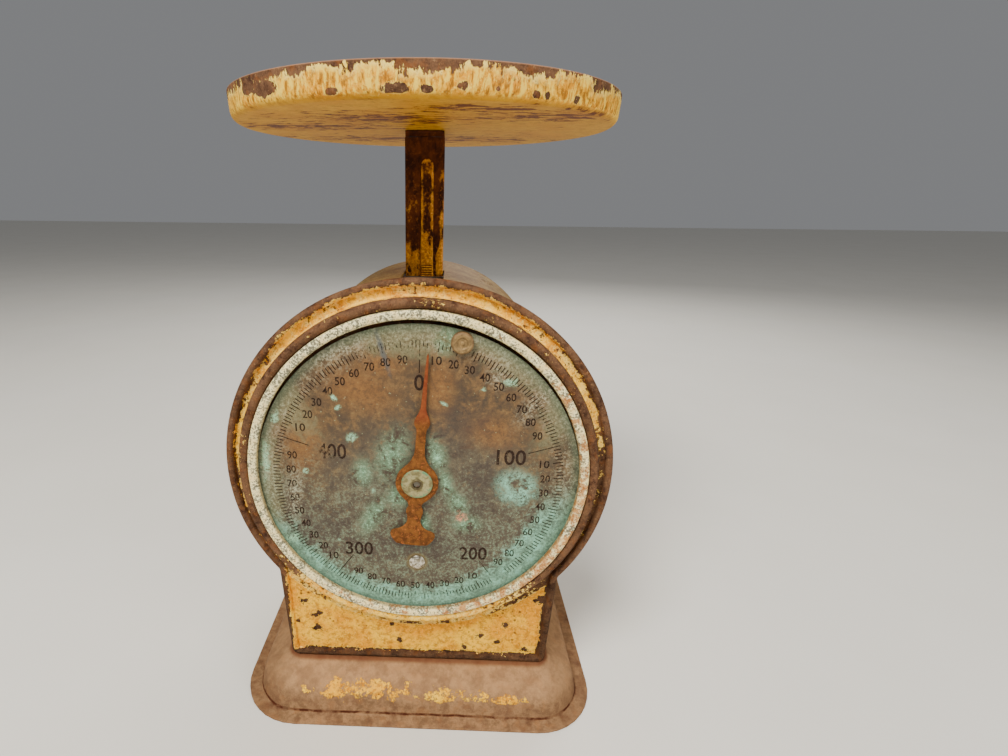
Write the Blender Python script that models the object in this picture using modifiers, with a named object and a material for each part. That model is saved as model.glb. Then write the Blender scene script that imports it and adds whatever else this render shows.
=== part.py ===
# A round-dial weighing scale with a flat pan on top.
#
# A pressed base carries an arch-topped case. The pan's stem runs down into the case and
# hangs from two springs. A rack on the stem turns a pinion, and the pinion's shaft turns
# the pointer. The dial turns by its small knob, to set zero.
#
# Metres, +Z up. The dial faces -Y. The origin is on the table, under the middle of the pan.

import math

import bmesh
import bpy
from mathutils import Matrix, Vector

# Clearances shared by all pieces
gap = 0.0003            # between two pieces that touch
running_gap = 0.0004    # round the stem, which slides
overrun = 0.002         # how far a cutter passes the faces that it cuts
bite = 0.0004           # how deep a joined shape sinks into its carrier

# Base pressing
base_width = 0.1944
base_depth = 0.1700
base_corner = 0.0330
base_sheet = 0.0012
base_height = 0.0220
bolster_height = 0.0136
base_top_corner = 0.0070
base_top_margin = 0.0010
# Each share pair is how far in from the edge to the top, and how high up the bolster.
base_wall_shares = ((0.27, 0.0), (0.31, 0.45), (0.37, 0.80), (0.46, 1.0))

# Case: a tombstone tube with a floor, an open front and a rear flange
case_half_width = 0.0725
case_foot_half_width = 0.0675
case_arch_height = 0.1545
case_wall = 0.0010
case_rear = 0.0570
case_rear_flange = 0.0080
rear_cover_sheet = 0.0012

# Dial window: the dial's axis sits a little below the middle of its bezel
dial_radius = 0.0770
dial_drop = 0.00274
dial_margin = 0.0004
window_height = 0.13784

# Bezel, and the bead pressed round it
bezel_ledge = 0.0009
bezel_width = 0.0043
bezel_thickness = 0.0032
bezel_front = 0.06695
bezel_slope = 0.0015
bead_width = 0.0044
bead_front = 0.0662
# Each share pair is how far across the bead, and how high on it.
bead_shares = ((0.0, 0.75), (0.25, 1.0), (0.75, 1.0), (1.0, 0.625))
valley_width = 0.0042
drum_back_sheet = 0.0008
drum_back_overlap = 0.0062
drum_back_hole = 0.0100

# Front cover: a keyhole plate with a rolled edge
roll_radius = 0.0019
cover_front = 0.0583
cover_sheet = 0.0012
neck_half_width = 0.0699
neck_top_half_width = 0.0712
neck_top_height = 0.0735
neck_corner = 0.0040
keyhole_ease = 0.0030

# Stem: a channel that opens to the rear, with a pressed rib down its front
stem_half_width = 0.00985
stem_front = 0.0019
stem_depth = 0.0100
stem_wall = 0.0012
stem_edge_radius = 0.0012
rib_half_width = 0.0033
rib_centre = 0.0014
rib_height = 0.0008
rib_top_drop = 0.0095
stem_shoulder = 0.0026

# Pan
pan_rim_radius = 0.0906
pan_foot_radius = 0.0898
pan_height = 0.0117
pan_sheet = 0.0012
pan_floor_height = 0.2947
pan_bend = 0.0032
pan_rivet_spacing = 0.0140

# Yoke under the stem, and the springs that carry it
yoke_half_length = 0.0340
yoke_thickness = 0.0050
yoke_rear_margin = 0.0040
yoke_height = 0.0820
spring_offset = 0.0280
spring_rear = 0.0140
spring_radius = 0.0045
spring_wire_radius = 0.0006
hanger_rise = 0.0335
hanger_thickness = 0.0050
hanger_depth = 0.0050
guide_rod_radius = 0.0025
guide_rod_overlap = 0.0120
rod_foot_radius = 0.0060
rod_foot_height = 0.0020
stem_guide_rim = 0.0030
stem_guide_height = 0.0060

# Movement frame: a U of strip on the case's floor
frame_half_width = 0.0200
frame_strip = 0.0012
frame_front = 0.0520
frame_rear = 0.0190
frame_front_rise = 0.0160
frame_rear_rise = 0.0055
bearing_rim = 0.0020
bearing_radius = 0.0035
bearing_length = 0.0030
bearing_collar = 0.0012

# Pointer shaft, and the gearing that turns it once for the full load
shaft_radius = 0.0015
pinion_pitch_radius = 0.0035
pinion_front = 0.0360
gear_width = 0.0040
tooth_addendum = 0.00045
tooth_dedendum = 0.00065
rack_back = 0.0045
rack_arm_height = 0.0030
rack_arm_lift = 0.0330
rack_arm_margin = 0.0010
rack_hub_half_width = 0.0090
rack_hub_depth = 0.0080
pinion_teeth = 12
rack_spare_teeth = 4
tooth_root_share = 0.42
tooth_tip_share = 0.20

# Dial assembly, from its front face back
dial_front = 0.0629
dial_sheet = 0.0008
carrier_sheet = 0.0010
carrier_radius = 0.0660
carrier_hub_wall = 0.0020
carrier_hub_length = 0.0040
collar_radius = 0.0060
collar_shoulder = 0.0025
collar_front_reach = 0.0013
retainer_width = 0.0028
retainer_thickness = 0.0007
collar_flange_radius = 0.0090
collar_nose_radius = 0.0050
collar_nose_length = 0.0010
knob_radius = 0.0050
knob_height = 0.0030
knob_orbit = 0.0718
knob_recess = 0.0005
knob_dish_share = 0.5
knob_rim_shares = (0.6, 0.9)
knob_stem_radius = 0.0015
dial_screw_radius = 0.0040
dial_screw_height = 0.0010
dial_screw_orbit = 0.0465
dial_screw_dome_shares = ((0.5, 1.0), (0.85, 0.7), (1.0, 0.3))
fixing_tail = 0.0008

# Pointer
pointer_back = 0.0645
pointer_sheet = 0.0008
pointer_ring_radius = 0.0103
pointer_reach = 0.0645
pointer_tail_reach = 0.0350
needle_half_width = 0.0010
pointer_bar_half_width = 0.0023
pointer_bump_half_width = 0.0037
pointer_wing_half_width = 0.0110
pointer_bulb_half_width = 0.0041
pointer_waist_half_width = 0.0032
# Each share pair is how far along the pointer's upper or lower reach, and how wide there.
needle_shares = ((1.0, 0.25), (0.73, 1.0), (0.575, 1.3))
bump_shares = ((0.53, 0.8), (0.49, 1.0), (0.44, 0.7))
bar_shares = ((0.42, 1.0), (0.27, 1.0), (0.205, 1.35))
neck_shares = ((0.34, 1.0),)
bulb_shares = ((0.42, 1.0), (0.49, 1.0))
waist_shares = ((0.57, 1.0), (0.66, 1.15))
wing_shares = ((0.76, 0.6), (0.82, 1.0), (0.90, 0.95), (0.97, 0.78))
washer_radius = 0.0075
washer_thickness = 0.0007
boss_radius = 0.0027
boss_height = 0.0009
boss_recess = 0.0010
boss_dome_shares = ((0.85, 1.0), (1.0, 0.6))

# Fasteners
screw_shank_radius = 0.0020
screw_head_radius = 0.0038
screw_head_height = 0.0019
nut_radius = 0.0034
nut_height = 0.0020
base_screw_side = 0.0550
base_screw_along = 0.0450
frame_screw_side = 0.0120
cover_screw_shank_radius = 0.0016
cover_screw_head_radius = 0.0032
cover_screw_head_height = 0.0016
cover_screw_low = 0.0120
cover_screw_nut_radius = 0.0026
cover_screw_nut_height = 0.0016
cover_screw_dome_shares = ((0.5, 1.0), (1.0, 0.5))
rivet_shank_radius = 0.0020
rivet_head_radius = 0.0036
rivet_head_height = 0.0012
rivet_dome_shares = ((0.5, 1.0), (1.0, 0.33))

# Counts and angles
round_steps = 48
keyhole_steps = 40
small_round_steps = 12
arch_steps = 24
corner_steps = 5
stem_edge_steps = 3
pointer_ring_steps = 9
spring_turns = 7
spring_points_per_turn = 8
pointer_angle = math.radians(4.3)
pointer_ring_start = math.radians(55)
pointer_ring_end = math.radians(-68)
knob_angle = math.radians(15.9)
cover_screw_angle = math.radians(45)

# Places that follow from the sizes above
case_floor = base_height + gap
case_floor_top = case_floor + case_wall
hanger_height = case_arch_height + hanger_rise
axis_height = window_height - dial_drop
window_radius = dial_radius + dial_drop + dial_margin
seat_radius = window_radius + bezel_ledge
bezel_radius = seat_radius - gap
bead_radius = seat_radius + bead_width
cover_radius = bead_radius + valley_width + 2 * roll_radius
bezel_back = bezel_front - bezel_thickness
cover_back = cover_front - cover_sheet
roll_back = cover_back - bite / 2
roll_centre = roll_back + roll_radius
drum_back_front = roll_back - gap
drum_back_rear = drum_back_front - drum_back_sheet
case_front = drum_back_rear - gap
dial_back = dial_front - dial_sheet
carrier_front = dial_back - gap
carrier_back = carrier_front - carrier_hub_length
collar_front = dial_front + collar_front_reach
pointer_front = pointer_back + pointer_sheet
washer_back = pointer_front + gap
washer_front = washer_back + washer_thickness
boss_front = washer_front + boss_height
stem_back = stem_depth - stem_front
rod_place = (stem_back - stem_front) / 2
yoke_top = yoke_height + yoke_thickness
stem_foot = yoke_top + gap
stem_top = pan_floor_height - gap - stem_shoulder - gap
full_travel = 2 * math.pi * pinion_pitch_radius
tooth_pitch = full_travel / pinion_teeth
rack_arm_place = axis_height + rack_arm_lift
rib_front = stem_front + rib_height
rear_cover_front = case_rear + gap
rear_cover_back = rear_cover_front + rear_cover_sheet
cover_screw_inset = case_wall + case_rear_flange / 2

COLOURS = {
    "worn_paint": ((0.62, 0.43, 0.17), 0.55, 0.0),
    "rusty_paint": ((0.30, 0.17, 0.11), 0.75, 0.0),
    "pan_paint": ((0.72, 0.55, 0.25), 0.5, 0.0),
    "dull_nickel": ((0.66, 0.62, 0.52), 0.45, 0.6),
    "dial_brass": ((0.34, 0.30, 0.21), 0.6, 0.3),
    "pointer_rust": ((0.52, 0.20, 0.06), 0.7, 0.1),
    "brass": ((0.48, 0.38, 0.20), 0.45, 0.9),
    "steel": ((0.45, 0.44, 0.42), 0.4, 1.0),
    "spring_steel": ((0.36, 0.35, 0.34), 0.35, 1.0),
}


def clear_scene():
    for thing in list(bpy.data.objects):
        bpy.data.objects.remove(thing, do_unlink=True)


def collection(name):
    made = bpy.data.collections.new(name)
    bpy.context.scene.collection.children.link(made)
    return made


def material(name, finish):
    colour, roughness, metallic = COLOURS[finish]
    made = bpy.data.materials.new(name)
    made.use_nodes = True
    shader = made.node_tree.nodes["Principled BSDF"]
    shader.inputs["Base Color"].default_value = (*colour, 1.0)
    shader.inputs["Roughness"].default_value = roughness
    shader.inputs["Metallic"].default_value = metallic
    made.diffuse_color = (*colour, 1.0)
    return made


clear_scene()
PARTS = collection("weighing_scale")
CUTTERS = collection("cutters")
BODIES = {}


def body_empty(name, place):
    """An empty on a joint's axis, which carries the pieces that the joint moves."""
    empty = bpy.data.objects.new(f"{name}_axis", None)
    empty.location = place
    PARTS.objects.link(empty)
    BODIES[name] = empty


def add_part(thing, finish, body=None):
    PARTS.objects.link(thing)
    thing.data.materials.clear()
    thing.data.materials.append(material(thing.name, finish))
    if body:
        bpy.context.view_layer.update()
        thing.parent = BODIES[body]
        thing.matrix_parent_inverse = BODIES[body].matrix_world.inverted()
    return thing


def add_cutter(thing):
    CUTTERS.objects.link(thing)
    thing.hide_render = True
    thing.display_type = "WIRE"
    return thing


def smooth(mesh):
    mesh.shade_smooth()
    mesh.set_sharp_from_angle(angle=math.radians(40))


def facing_front(x, z):
    """Puts local Z towards the viewer, with heights counted forward from the stem's line."""
    return Matrix.Translation((x, 0, z)) @ Matrix.Rotation(math.pi / 2, 4, "X")


def facing_rear(x, z):
    return Matrix.Translation((x, 0, z)) @ Matrix.Rotation(-math.pi / 2, 4, "X")


def standing(x, y, z=0):
    return Matrix.Translation((x, y, z))


def turned(name, place, profile, steps=small_round_steps):
    """A turned piece: (radius, height) pairs that run down its outer side."""
    closes = profile[0][0] > 0
    mesh = bpy.data.meshes.new(name)
    points = [(radius, 0, height) for radius, height in profile]
    edges = [(i, i + 1) for i in range(len(points) - 1)]
    if closes:
        edges.append((len(points) - 1, 0))
    mesh.from_pydata(points, edges, [])
    thing = bpy.data.objects.new(name, mesh)
    thing.matrix_world = place
    screw = thing.modifiers.new("turn", "SCREW")
    screw.steps = steps
    screw.render_steps = steps
    screw.use_merge_vertices = True
    screw.merge_threshold = 0.00001
    screw.use_smooth_shade = True
    return thing


def dome(radius, height, foot, shares):
    """The side of a round head, from its top down to its edge."""
    return [(radius * across, foot + height * up) for across, up in shares]


def loft(name, rings, closed=False):
    """Skins rings that have as many points each. An open loft is capped by its last ring."""
    shape = bmesh.new()
    rows = [[shape.verts.new(point) for point in ring] for ring in rings]
    if closed:
        rows.append(rows[0])
    for near, far in zip(rows, rows[1:]):
        for i in range(len(near)):
            j = (i + 1) % len(near)
            shape.faces.new((near[i], near[j], far[j], far[i]))
    if not closed:
        shape.faces.new(rows[-1])
    mesh = bpy.data.meshes.new(name)
    shape.to_mesh(mesh)
    shape.free()
    return bpy.data.objects.new(name, mesh)


def box(name, low, high):
    low, high = Vector(low), Vector(high)
    middle = (low + high) / 2
    shape = bmesh.new()
    stretch = Matrix.Diagonal((*(high - low), 1))
    bmesh.ops.create_cube(shape, size=1, matrix=Matrix.Translation(middle) @ stretch)
    mesh = bpy.data.meshes.new(name)
    shape.to_mesh(mesh)
    shape.free()
    return bpy.data.objects.new(name, mesh)


def as_solid(thing):
    """Turns a curve object into a welded mesh object of the same name and place."""
    bpy.context.scene.collection.objects.link(thing)
    bpy.context.view_layer.update()
    seen = thing.evaluated_get(bpy.context.evaluated_depsgraph_get())
    mesh = bpy.data.meshes.new_from_object(seen)
    shape = bmesh.new()
    shape.from_mesh(mesh)
    bmesh.ops.remove_doubles(shape, verts=shape.verts, dist=0.000001)
    bmesh.ops.recalc_face_normals(shape, faces=shape.faces)
    shape.to_mesh(mesh)
    shape.free()
    name, place = thing.name, thing.matrix_world.copy()
    bpy.data.objects.remove(thing, do_unlink=True)
    solid = bpy.data.objects.new(name, mesh)
    solid.matrix_world = place
    return solid


def plate(name, place, outlines, low, high):
    """Flat outlines, the first round the rest, filled from one local height to another."""
    curve = bpy.data.curves.new(name, "CURVE")
    curve.dimensions = "2D"
    curve.fill_mode = "BOTH"
    curve.extrude = (high - low) / 2
    for outline in outlines:
        spline = curve.splines.new("POLY")
        spline.points.add(len(outline) - 1)
        for point, (x, y) in zip(spline.points, outline):
            point.co = (x, y, 0, 1)
        spline.use_cyclic_u = True
    thing = bpy.data.objects.new(name, curve)
    thing.matrix_world = place @ Matrix.Translation((0, 0, (low + high) / 2))
    return as_solid(thing)


def tube(name, points, radius, closed=False, sides=2):
    curve = bpy.data.curves.new(name, "CURVE")
    curve.dimensions = "3D"
    curve.bevel_depth = radius
    curve.bevel_resolution = sides
    curve.use_fill_caps = not closed
    spline = curve.splines.new("POLY")
    spline.points.add(len(points) - 1)
    for point, place in zip(spline.points, points):
        point.co = (*place, 1)
    spline.use_cyclic_u = closed
    return as_solid(bpy.data.objects.new(name, curve))


def combine(thing, other, operation):
    """Cuts or joins a shape with another, which stays in the cutters' collection."""
    step = thing.modifiers.new(other.name, "BOOLEAN")
    step.operation = operation
    step.solver = "EXACT"
    step.object = add_cutter(other)
    return thing


def drill(thing, place, radius, low, high):
    profile = [(0, high), (radius, high), (radius, low), (0, low)]
    name = f"{thing.name}_hole_{len(thing.modifiers)}"
    return combine(thing, turned(name, place, profile, small_round_steps), "DIFFERENCE")


def arc(centre, radius, start, end, steps):
    turn = (end - start) / steps
    return [(centre[0] + radius * math.cos(start + turn * i),
             centre[1] + radius * math.sin(start + turn * i)) for i in range(steps + 1)]


def circle(radius, steps, centre=(0, 0)):
    return arc(centre, radius, 0, 2 * math.pi, steps)[:-1]


def eased(before, corner, after, reach, steps=4):
    """Replaces a corner by a short curve that starts and ends a reach away from it."""
    before, corner, after = Vector(before), Vector(corner), Vector(after)
    start = corner + (before - corner).normalized() * reach
    end = corner + (after - corner).normalized() * reach
    points = []
    for i in range(steps + 1):
        t = i / steps
        points.append(tuple(start * (1 - t) ** 2 + corner * 2 * t * (1 - t) + end * t ** 2))
    return points


# The base is a loft of rounded rectangles: flange, bolster and a slope up to the case.
def rounded_rectangle(half_x, half_y, radius):
    points = []
    for quarter, (side_x, side_y) in enumerate(((1, 1), (-1, 1), (-1, -1), (1, -1))):
        centre = (side_x * (half_x - radius), side_y * (half_y - radius))
        start = quarter * math.pi / 2
        points += arc(centre, radius, start, start + math.pi / 2, corner_steps)
    return points


def base_rings():
    top_half_x = neck_half_width + base_top_margin
    top_half_y = cover_front + roll_radius
    rings = [(0, base_sheet)]
    for inward, upward in base_wall_shares:
        rings.append((inward, base_sheet + upward * (bolster_height - base_sheet)))
    rings.append((1, base_height))
    for inward, height in rings:
        half_x = base_width / 2 + (top_half_x - base_width / 2) * inward
        half_y = base_depth / 2 + (top_half_y - base_depth / 2) * inward
        radius = base_corner + (base_top_corner - base_corner) * inward
        yield [(x, y, height) for x, y in rounded_rectangle(half_x, half_y, radius)]


def base_screw_places():
    return [(side_x * base_screw_side, side_y * base_screw_along)
            for side_x in (-1, 1) for side_y in (-1, 1)]


def frame_screw_places():
    middle = -(frame_front + frame_rear) / 2
    return [(-frame_screw_side, middle), (frame_screw_side, middle)]


def build_base():
    base = add_part(loft("base_shell", base_rings()), "rusty_paint")
    smooth(base.data)
    wall = base.modifiers.new("wall", "SOLIDIFY")
    wall.thickness = base_sheet
    wall.offset = -1
    wall.use_even_offset = True
    wall.use_quality_normals = True
    low = base_height - base_sheet - overrun
    for x, y in base_screw_places() + frame_screw_places():
        drill(base, standing(x, y), screw_shank_radius + gap, low, base_height + overrun)

    head_top = base_height - base_sheet - gap
    for number, (x, y) in enumerate(base_screw_places(), 1):
        profile = screw_profile(head_top, case_floor_top + gap)
        add_part(turned(f"base_screw_{number}", standing(x, y), profile), "steel")


def screw_profile(head_top, nut_foot):
    """A screw from below, with its nut: the head hangs under the sheets that it holds."""
    top = nut_foot + nut_height
    foot = head_top - screw_head_height
    return [(0, top), (nut_radius, top), (nut_radius, nut_foot), (screw_shank_radius, nut_foot),
            (screw_shank_radius, head_top), (screw_head_radius, head_top),
            (screw_head_radius, foot), (0, foot)]


# The case's outline is an arch on two legs that lean in a little towards the base.
def tombstone(inset):
    foot = case_foot_half_width - inset
    floor = case_floor + inset
    radius = case_half_width - inset
    arch = arc((0, case_arch_height), radius, 0, math.pi, arch_steps)
    return [(-foot, floor), (foot, floor)] + arch


def arch_half_width(height, inset):
    return math.sqrt((case_half_width - inset) ** 2 - (height - case_arch_height) ** 2)


def leg_half_width(height, inset):
    share = (height - case_floor) / (case_arch_height - case_floor)
    return case_foot_half_width + (case_half_width - case_foot_half_width) * share - inset


def rear_screw_places():
    low = case_floor + cover_screw_low
    side = leg_half_width(low, cover_screw_inset)
    reach = case_half_width - cover_screw_inset
    across = reach * math.cos(cover_screw_angle)
    high = case_arch_height + reach * math.sin(cover_screw_angle)
    return [(-side, low), (side, low), (-across, high), (across, high)]


def case_rings():
    """Down the outer side from the rear, back along the inner side and round the rear flange."""
    flange_front = case_rear - case_wall
    flange_inset = case_wall + case_rear_flange
    for y, inset in ((case_rear, 0), (-case_front, 0), (-case_front, case_wall),
                     (flange_front, case_wall), (flange_front, flange_inset),
                     (case_rear, flange_inset)):
        yield [(x, y, z) for x, z in tombstone(inset)]


def build_case():
    front = facing_front(0, 0)
    shell = add_part(loft("body_shell", case_rings(), closed=True), "rusty_paint")
    # The slot is open at the front, so the stem goes in there before the front cover closes it.
    slot_side = stem_half_width + 2 * running_gap
    arch_top = case_arch_height + case_half_width
    slot = box("stem_slot",
               (-slot_side, -case_front - overrun, case_arch_height),
               (slot_side, stem_back + 2 * running_gap, arch_top + overrun))
    combine(shell, slot, "DIFFERENCE")
    for x, y in base_screw_places() + frame_screw_places():
        drill(shell, standing(x, y), screw_shank_radius + gap,
              case_floor - overrun, case_floor_top + overrun)
    for x, z in rear_screw_places():
        drill(shell, front @ standing(x, z), cover_screw_shank_radius + gap,
              -case_rear - overrun, -case_rear + case_wall + overrun)

    rear = plate("rear_cover", front, [tombstone(0)], -rear_cover_back, -rear_cover_front)
    add_part(rear, "rusty_paint")
    for x, z in rear_screw_places():
        drill(rear, front @ standing(x, z), cover_screw_shank_radius + gap,
              -rear_cover_back - overrun, -rear_cover_front + overrun)
    head_back = rear_cover_back + gap
    nut_back = case_rear - case_wall - gap
    for number, (x, z) in enumerate(rear_screw_places(), 1):
        profile = [(0, head_back + cover_screw_head_height)]
        profile += dome(cover_screw_head_radius, cover_screw_head_height, head_back,
                        cover_screw_dome_shares)
        profile += [(cover_screw_head_radius, head_back),
                    (cover_screw_shank_radius, head_back),
                    (cover_screw_shank_radius, nut_back),
                    (cover_screw_nut_radius, nut_back),
                    (cover_screw_nut_radius, nut_back - cover_screw_nut_height),
                    (0, nut_back - cover_screw_nut_height)]
        add_part(turned(f"rear_cover_screw_{number}", facing_rear(x, z), profile), "steel")


# The front cover's outline is a keyhole: a circle that runs into a tapering neck.
def neck_meets_circle(inset):
    """Where the right side of the neck meets the circle, as (x, z)."""
    radius = cover_radius - inset
    slope = (neck_top_half_width - neck_half_width) / (neck_top_height - case_floor)
    reach = neck_half_width - inset + slope * (window_height - case_floor)
    a, b, c = 1 + slope ** 2, 2 * reach * slope, reach ** 2 - radius ** 2
    drop = (-b - math.sqrt(b ** 2 - 4 * a * c)) / (2 * a)
    return reach + slope * drop, window_height + drop


def keyhole(inset):
    side, height = neck_meets_circle(inset)
    start = math.atan2(height - window_height, side)
    ring = arc((0, window_height), cover_radius - inset, start, math.pi - start, keyhole_steps)
    foot = neck_half_width - inset
    floor = case_floor + inset
    left, right = (-foot, floor), (foot, floor)
    corner = neck_corner - inset / 2
    points = eased(left, right, ring[0], corner)
    points += eased(right, ring[0], ring[2], keyhole_ease)
    points += ring[2:-2]
    points += eased(ring[-3], ring[-1], left, keyhole_ease)
    points += eased(ring[-1], left, right, corner)
    return points


def build_front_cover():
    front = facing_front(0, 0)
    window = circle(window_radius, round_steps, (0, window_height))
    cover = plate("front_cover", front, [keyhole(roll_radius), window], cover_back, cover_front)
    add_part(cover, "worn_paint")
    path = [(x, -roll_centre, z) for x, z in keyhole(roll_radius)]
    combine(cover, tube("edge_roll", path, roll_radius, closed=True, sides=1), "UNION")
    ledge = bezel_back - gap
    inside = window_radius + bite / 4
    foot = cover_back + bite / 2
    bead = [(seat_radius + bead_width * across, cover_front + (bead_front - cover_front) * up)
            for across, up in reversed(bead_shares)]
    bead = [(bead_radius, foot)] + bead + [(seat_radius, ledge), (inside, ledge), (inside, foot)]
    ring = turned("window_bead", facing_front(0, window_height), bead, round_steps)
    combine(cover, ring, "UNION")

    disc_radius = window_radius + drum_back_overlap
    disc = [(drum_back_hole, drum_back_front), (disc_radius, drum_back_front),
            (disc_radius, drum_back_rear), (drum_back_hole, drum_back_rear)]
    add_part(turned("drum_back", facing_front(0, axis_height), disc, round_steps), "rusty_paint")

    inner = bezel_radius - bezel_width
    rounding = bezel_slope / 2
    profile = [(inner, bezel_front - bezel_slope), (inner + rounding, bezel_front - rounding),
               (inner + bezel_width / 2, bezel_front), (bezel_radius - rounding, bezel_front),
               (bezel_radius, bezel_front - rounding), (bezel_radius, bezel_back),
               (inner, bezel_back)]
    add_part(turned("bezel", facing_front(0, window_height), profile, round_steps), "dull_nickel")


def build_pan():
    floor_top = pan_floor_height + pan_sheet
    rim = pan_floor_height + pan_height
    inner = eased((0, floor_top), (pan_foot_radius - pan_sheet, floor_top),
                  (pan_rim_radius - pan_sheet, rim), pan_bend - pan_sheet)
    outer = eased((0, pan_floor_height), (pan_foot_radius, pan_floor_height),
                  (pan_rim_radius, rim), pan_bend)
    profile = [(0, floor_top)] + inner
    profile += [(pan_rim_radius - pan_sheet, rim), (pan_rim_radius, rim)]
    profile += outer[::-1] + [(0, pan_floor_height)]
    pan = add_part(turned("pan", standing(0, 0), profile, round_steps), "pan_paint", "platform")
    bracket_top = pan_floor_height - gap
    bracket_foot = bracket_top - stem_shoulder
    rivets = [rod_place, rod_place + pan_rivet_spacing]
    low_y = -stem_front
    high_y = rivets[1] + rivet_head_radius + gap
    side = stem_half_width - gap
    bracket = add_part(box("pan_bracket", (-side, low_y, bracket_foot), (side, high_y, bracket_top)),
                       "rusty_paint", "platform")
    for number, y in enumerate(rivets, 1):
        drill(pan, standing(0, y), rivet_shank_radius + gap,
              pan_floor_height - overrun, floor_top + overrun)
        drill(bracket, standing(0, y), rivet_shank_radius + gap,
              bracket_foot - overrun, bracket_top + overrun)
        head = floor_top + gap
        tail = bracket_foot - gap
        profile = [(0, head + rivet_head_height)]
        profile += dome(rivet_head_radius, rivet_head_height, head, rivet_dome_shares)
        profile += [(rivet_head_radius, head),
                    (rivet_shank_radius, head), (rivet_shank_radius, tail),
                    (rivet_head_radius, tail), (rivet_head_radius, tail - rivet_head_height / 2),
                    (0, tail - rivet_head_height / 2)]
        add_part(turned(f"pan_rivet_{number}", standing(0, y), profile), "steel", "platform")


def build_stem():
    side, front, back, wall = stem_half_width, -stem_front, stem_back, stem_wall
    inner = side - wall
    channel = eased((-side, back), (-side, front), (side, front), stem_edge_radius, stem_edge_steps)
    channel += eased((-side, front), (side, front), (side, back), stem_edge_radius, stem_edge_steps)
    channel += [(side, back), (inner, back), (inner, front + wall),
                (-inner, front + wall), (-inner, back), (-side, back)]
    stem = add_part(plate("stem", standing(0, 0), [channel], stem_foot, stem_top),
                    "rusty_paint", "platform")
    top = stem_top - rib_top_drop - rib_half_width
    rib = [(rib_centre - rib_half_width, stem_foot + rib_half_width),
           (rib_centre + rib_half_width, stem_foot + rib_half_width)]
    rib += arc((rib_centre, top), rib_half_width, 0, math.pi, corner_steps)
    combine(stem, plate("stem_rib", facing_front(0, 0), [rib], stem_front - bite, rib_front), "UNION")

    yoke_back = spring_rear + yoke_rear_margin
    outline = [(-yoke_half_length, front), (yoke_half_length, front),
               (yoke_half_length, yoke_back), (-yoke_half_length, yoke_back)]
    rod_hole = circle(guide_rod_radius + gap, small_round_steps, (0, rod_place))
    yoke = plate("yoke", standing(0, 0), [outline, rod_hole], yoke_height, yoke_top)
    add_part(yoke, "steel", "platform")

    rod_top = yoke_top + guide_rod_overlap
    rod_foot = case_floor_top + gap
    profile = [(0, rod_top), (guide_rod_radius, rod_top),
               (guide_rod_radius, rod_foot + rod_foot_height),
               (rod_foot_radius, rod_foot + rod_foot_height), (rod_foot_radius, rod_foot),
               (0, rod_foot)]
    add_part(turned("guide_rod", standing(0, rod_place), profile), "steel")

    rim = stem_guide_rim
    hole_side = side + running_gap
    hole_front = -rib_front - running_gap
    hole_back = back + running_gap
    reach = hole_side + rim
    guide_top = case_arch_height + math.sqrt((case_half_width - case_wall) ** 2 - reach ** 2) - gap
    outer = [(-reach, hole_front - rim), (reach, hole_front - rim),
             (reach, hole_back + rim), (-reach, hole_back + rim)]
    hole = [(-hole_side, hole_front), (hole_side, hole_front),
            (hole_side, hole_back), (-hole_side, hole_back)]
    guide = plate("stem_guide", standing(0, 0), [outer, hole], guide_top - stem_guide_height, guide_top)
    add_part(guide, "steel")


def build_springs():
    top = hanger_height + hanger_thickness
    reach = arch_half_width(top, case_wall) - gap
    front = spring_rear - hanger_depth / 2
    back = spring_rear + hanger_depth / 2
    add_part(box("spring_hanger", (-reach, front, hanger_height), (reach, back, top)), "steel")
    low = yoke_top + gap + spring_wire_radius
    high = hanger_height - gap - spring_wire_radius
    steps = spring_turns * spring_points_per_turn
    for name, side in (("spring_left", -spring_offset), ("spring_right", spring_offset)):
        points = []
        for i in range(steps + 1):
            turn = 2 * math.pi * i / spring_points_per_turn
            points.append((side + spring_radius * math.cos(turn),
                           spring_rear + spring_radius * math.sin(turn),
                           low + (high - low) * i / steps))
        add_part(tube(name, points, spring_wire_radius, sides=1), "spring_steel")


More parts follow.
